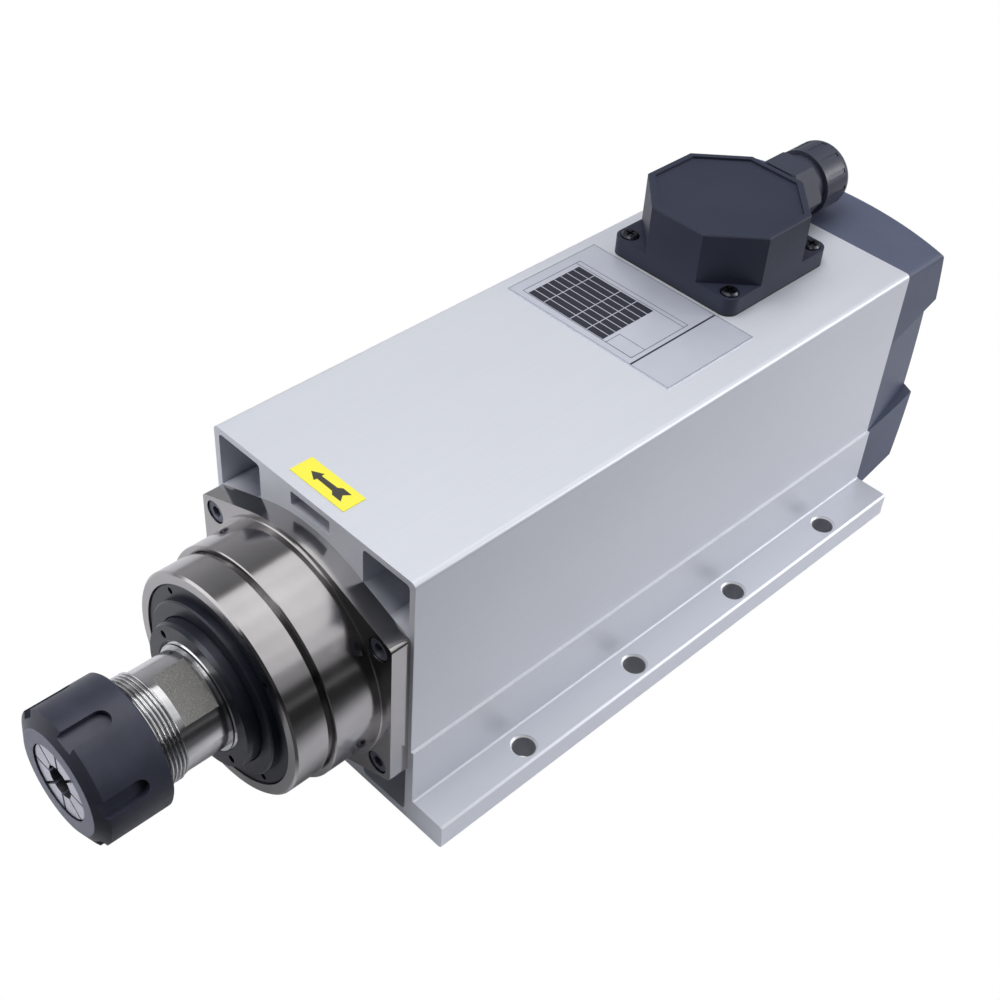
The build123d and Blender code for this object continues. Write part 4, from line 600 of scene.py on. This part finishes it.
def shaft_thread(material):
    """Right-hand ridge of the nut's thread, wound round the shaft's nose."""
    start = FRONT - THREAD_END
    turns = (THREAD_END - THREAD_START) / THREAD_PITCH
    steps = int(turns * THREAD_STEPS)
    section = [
        (-THREAD_ROOT_SHARE, THREAD_ROOT_R),
        (-THREAD_CREST_SHARE, THREAD_CREST_R),
        (THREAD_CREST_SHARE, THREAD_CREST_R),
        (THREAD_ROOT_SHARE, THREAD_ROOT_R),
    ]
    vertices = []
    for index in range(steps + 1):
        turn = index / THREAD_STEPS
        angle = -2 * pi * turn
        rise = min(1.0, index / THREAD_FADE_STEPS, (steps - index) / THREAD_FADE_STEPS)
        for offset, radius in section:
            r = THREAD_ROOT_R + (radius - THREAD_ROOT_R) * rise
            y = start + (turn + offset) * THREAD_PITCH
            vertices.append((r * cos(angle), y, AXIS_Z + r * sin(angle)))
    width = len(section)
    last = steps * width
    faces = [tuple(range(width)), tuple(range(last, last + width))]
    for index in range(steps):
        for column in range(width):
            first = index * width + column
            second = index * width + (column + 1) % width
            faces.append((first, second, second + width, first + width))
    add_piece("shaft_thread", "rotor", vertices, faces, material, smooth=True)


def printed(name, rectangles, material):
    """Thin printed patches on the nameplate, each given by its X and Y limits in millimetres."""
    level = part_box("nameplate")[1].z + PRINT_LIFT
    vertices = []
    faces = []
    for x_from, x_to, y_from, y_to in rectangles:
        first = len(vertices)
        corners = [(x_from, y_from), (x_to, y_from), (x_to, y_to), (x_from, y_to)]
        vertices += [(x * MM, y * MM, level) for x, y in corners]
        faces.append((first, first + 1, first + 2, first + 3))
    add_piece(name, "housing", vertices, faces, material)


def frame_lines(x_from, x_to, y_from, y_to, line):
    """The four thin rectangles of a printed frame."""
    return [
        (x_from, x_to, y_from, y_from + line),
        (x_from, x_to, y_to - line, y_to),
        (x_from, x_from + line, y_from, y_to),
        (x_to - line, x_to, y_from, y_to),
    ]


def print_nameplate():
    """Table, frames and bar of the nameplate, without words."""
    ink = label_film("print_ink", (0.017, 0.019, 0.034), 0.4)
    row = (TABLE_REAR - TABLE_FRONT) / TABLE_ROWS
    half = TABLE_LINE_HALF
    cells = []
    for left, right in zip(TABLE_COLUMNS, TABLE_COLUMNS[1:]):
        for index in range(TABLE_ROWS):
            low = TABLE_FRONT + index * row
            cells.append((left + half, right - half, low + half, low + row - half))
    printed("nameplate_table", cells, ink)
    lines = frame_lines(*DATA_FRAME, FRAME_LINE)
    lines += frame_lines(*CORNER_FRAME, FRAME_LINE)
    lines.append(HEAD_LINE)
    lines += frame_lines(*PLATE_FRAME, PLATE_FRAME_LINE)
    lines.append(BAR)
    printed("nameplate_lines", lines, ink)


def print_arrow():
    """Arrow for the turning direction, printed on the yellow label."""
    low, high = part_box("arrow_label")
    middle = (low + high) / 2
    size = high - low
    level = high.z + PRINT_LIFT
    outline = ARROW_HALF + [ARROW_NOTCH] + [(u, -v) for u, v in reversed(ARROW_HALF[1:])]
    vertices = [(middle.x + u * size.x, middle.y + v * size.y, level) for u, v in outline]
    ink = label_film("arrow_ink", (0.052, 0.048, 0.040), 0.4)
    add_piece("arrow_print", "housing", vertices, [tuple(range(len(outline)))], ink)


def paint_nodes(finishes):
    """Gives each CAD node its material."""
    for material, nodes in finishes:
        for node in nodes:
            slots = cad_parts[node].data.materials
            slots.clear()
            slots.append(material)


def dress_nodes():
    """Thread, print and the materials of all the CAD nodes."""
    shaft = ground_steel()
    shaft_thread(shaft)
    print_nameplate()
    print_arrow()
    bearing = plain_steel("bearing_steel", (0.58, 0.585, 0.60), 0.12)
    screw = plain_steel("screw_steel", (0.115, 0.12, 0.165), 0.42, 0.35)
    plated = plain_steel("plated_steel", (0.085, 0.088, 0.105), 0.28)
    brass = plain_steel("cage_brass", (0.55, 0.40, 0.16), 0.3)
    cast = plain_steel("plain_aluminium", (0.62, 0.63, 0.65), 0.35)
    sleeve = moulded_plastic("lead_sleeve", (0.45, 0.05, 0.03), 0.5)
    cover = moulded_plastic("cover_plastic", (0.088, 0.102, 0.162), 0.5, shine=0.4)
    box = moulded_plastic("box_plastic", (0.029, 0.034, 0.058), 0.5, shine=0.26)
    block = moulded_plastic("block_plastic", (0.75, 0.73, 0.66), 0.45)
    fan = moulded_plastic("fan_plastic", (0.04, 0.04, 0.045), 0.45)
    gland = moulded_plastic("gland_plastic", (0.046, 0.051, 0.076), 0.42, shine=0.22)
    cap = moulded_plastic("cap_plastic", (0.046, 0.051, 0.076), 0.34)
    paint_nodes(
        [
            (anodised_aluminium(), ["housing_extrusion"]),
            (nose_steel(), ["front_bearing_housing"]),
            (black_steel(), ["front_clamp_ring", "labyrinth_nut", "rear_locknut"]),
            (shaft, ["spindle_shaft"]),
            (collet_steel(), ["collet"]),
            (nut_steel(), ["collet_nut"]),
            (screw, ["flange_screws", "rear_housing_screws", "cover_screws"]),
            (plated, ["terminal_box_screws", "terminal_clamp_screws", "fan_screw"]),
            (bearing, ["front_bearing_outer_rings", "front_bearing_inner_rings", "front_balls"]),
            (bearing, ["rear_bearing_outer_ring", "rear_bearing_inner_ring", "rear_balls"]),
            (bearing, ["preload_spring"]),
            (brass, ["front_ball_cages", "rear_ball_cage"]),
            (cast, ["rear_bearing_housing", "rotor_cage"]),
            (laminated_steel(), ["stator_core", "rotor_core"]),
            (winding_copper(), ["stator_windings"]),
            (sleeve, ["motor_leads"]),
            (cover, ["rear_cover"]),
            (box, ["terminal_box"]),
            (block, ["terminal_block"]),
            (fan, ["cooling_fan"]),
            (gland, ["gland_body"]),
            (cap, ["gland_cap"]),
            (rubber(), ["terminal_gasket", "gland_washer", "gland_seal"]),
            (label_film("nameplate_film", (0.78, 0.815, 0.93), 0.25, 0.5), ["nameplate"]),
            (label_film("yellow_film", (0.93, 0.84, 0.075)), ["arrow_label"]),
        ]
    )


make_camera()
make_world()
make_floor()
make_lights()
dress_nodes()

bpy.context.scene.view_settings.view_transform = "Standard"
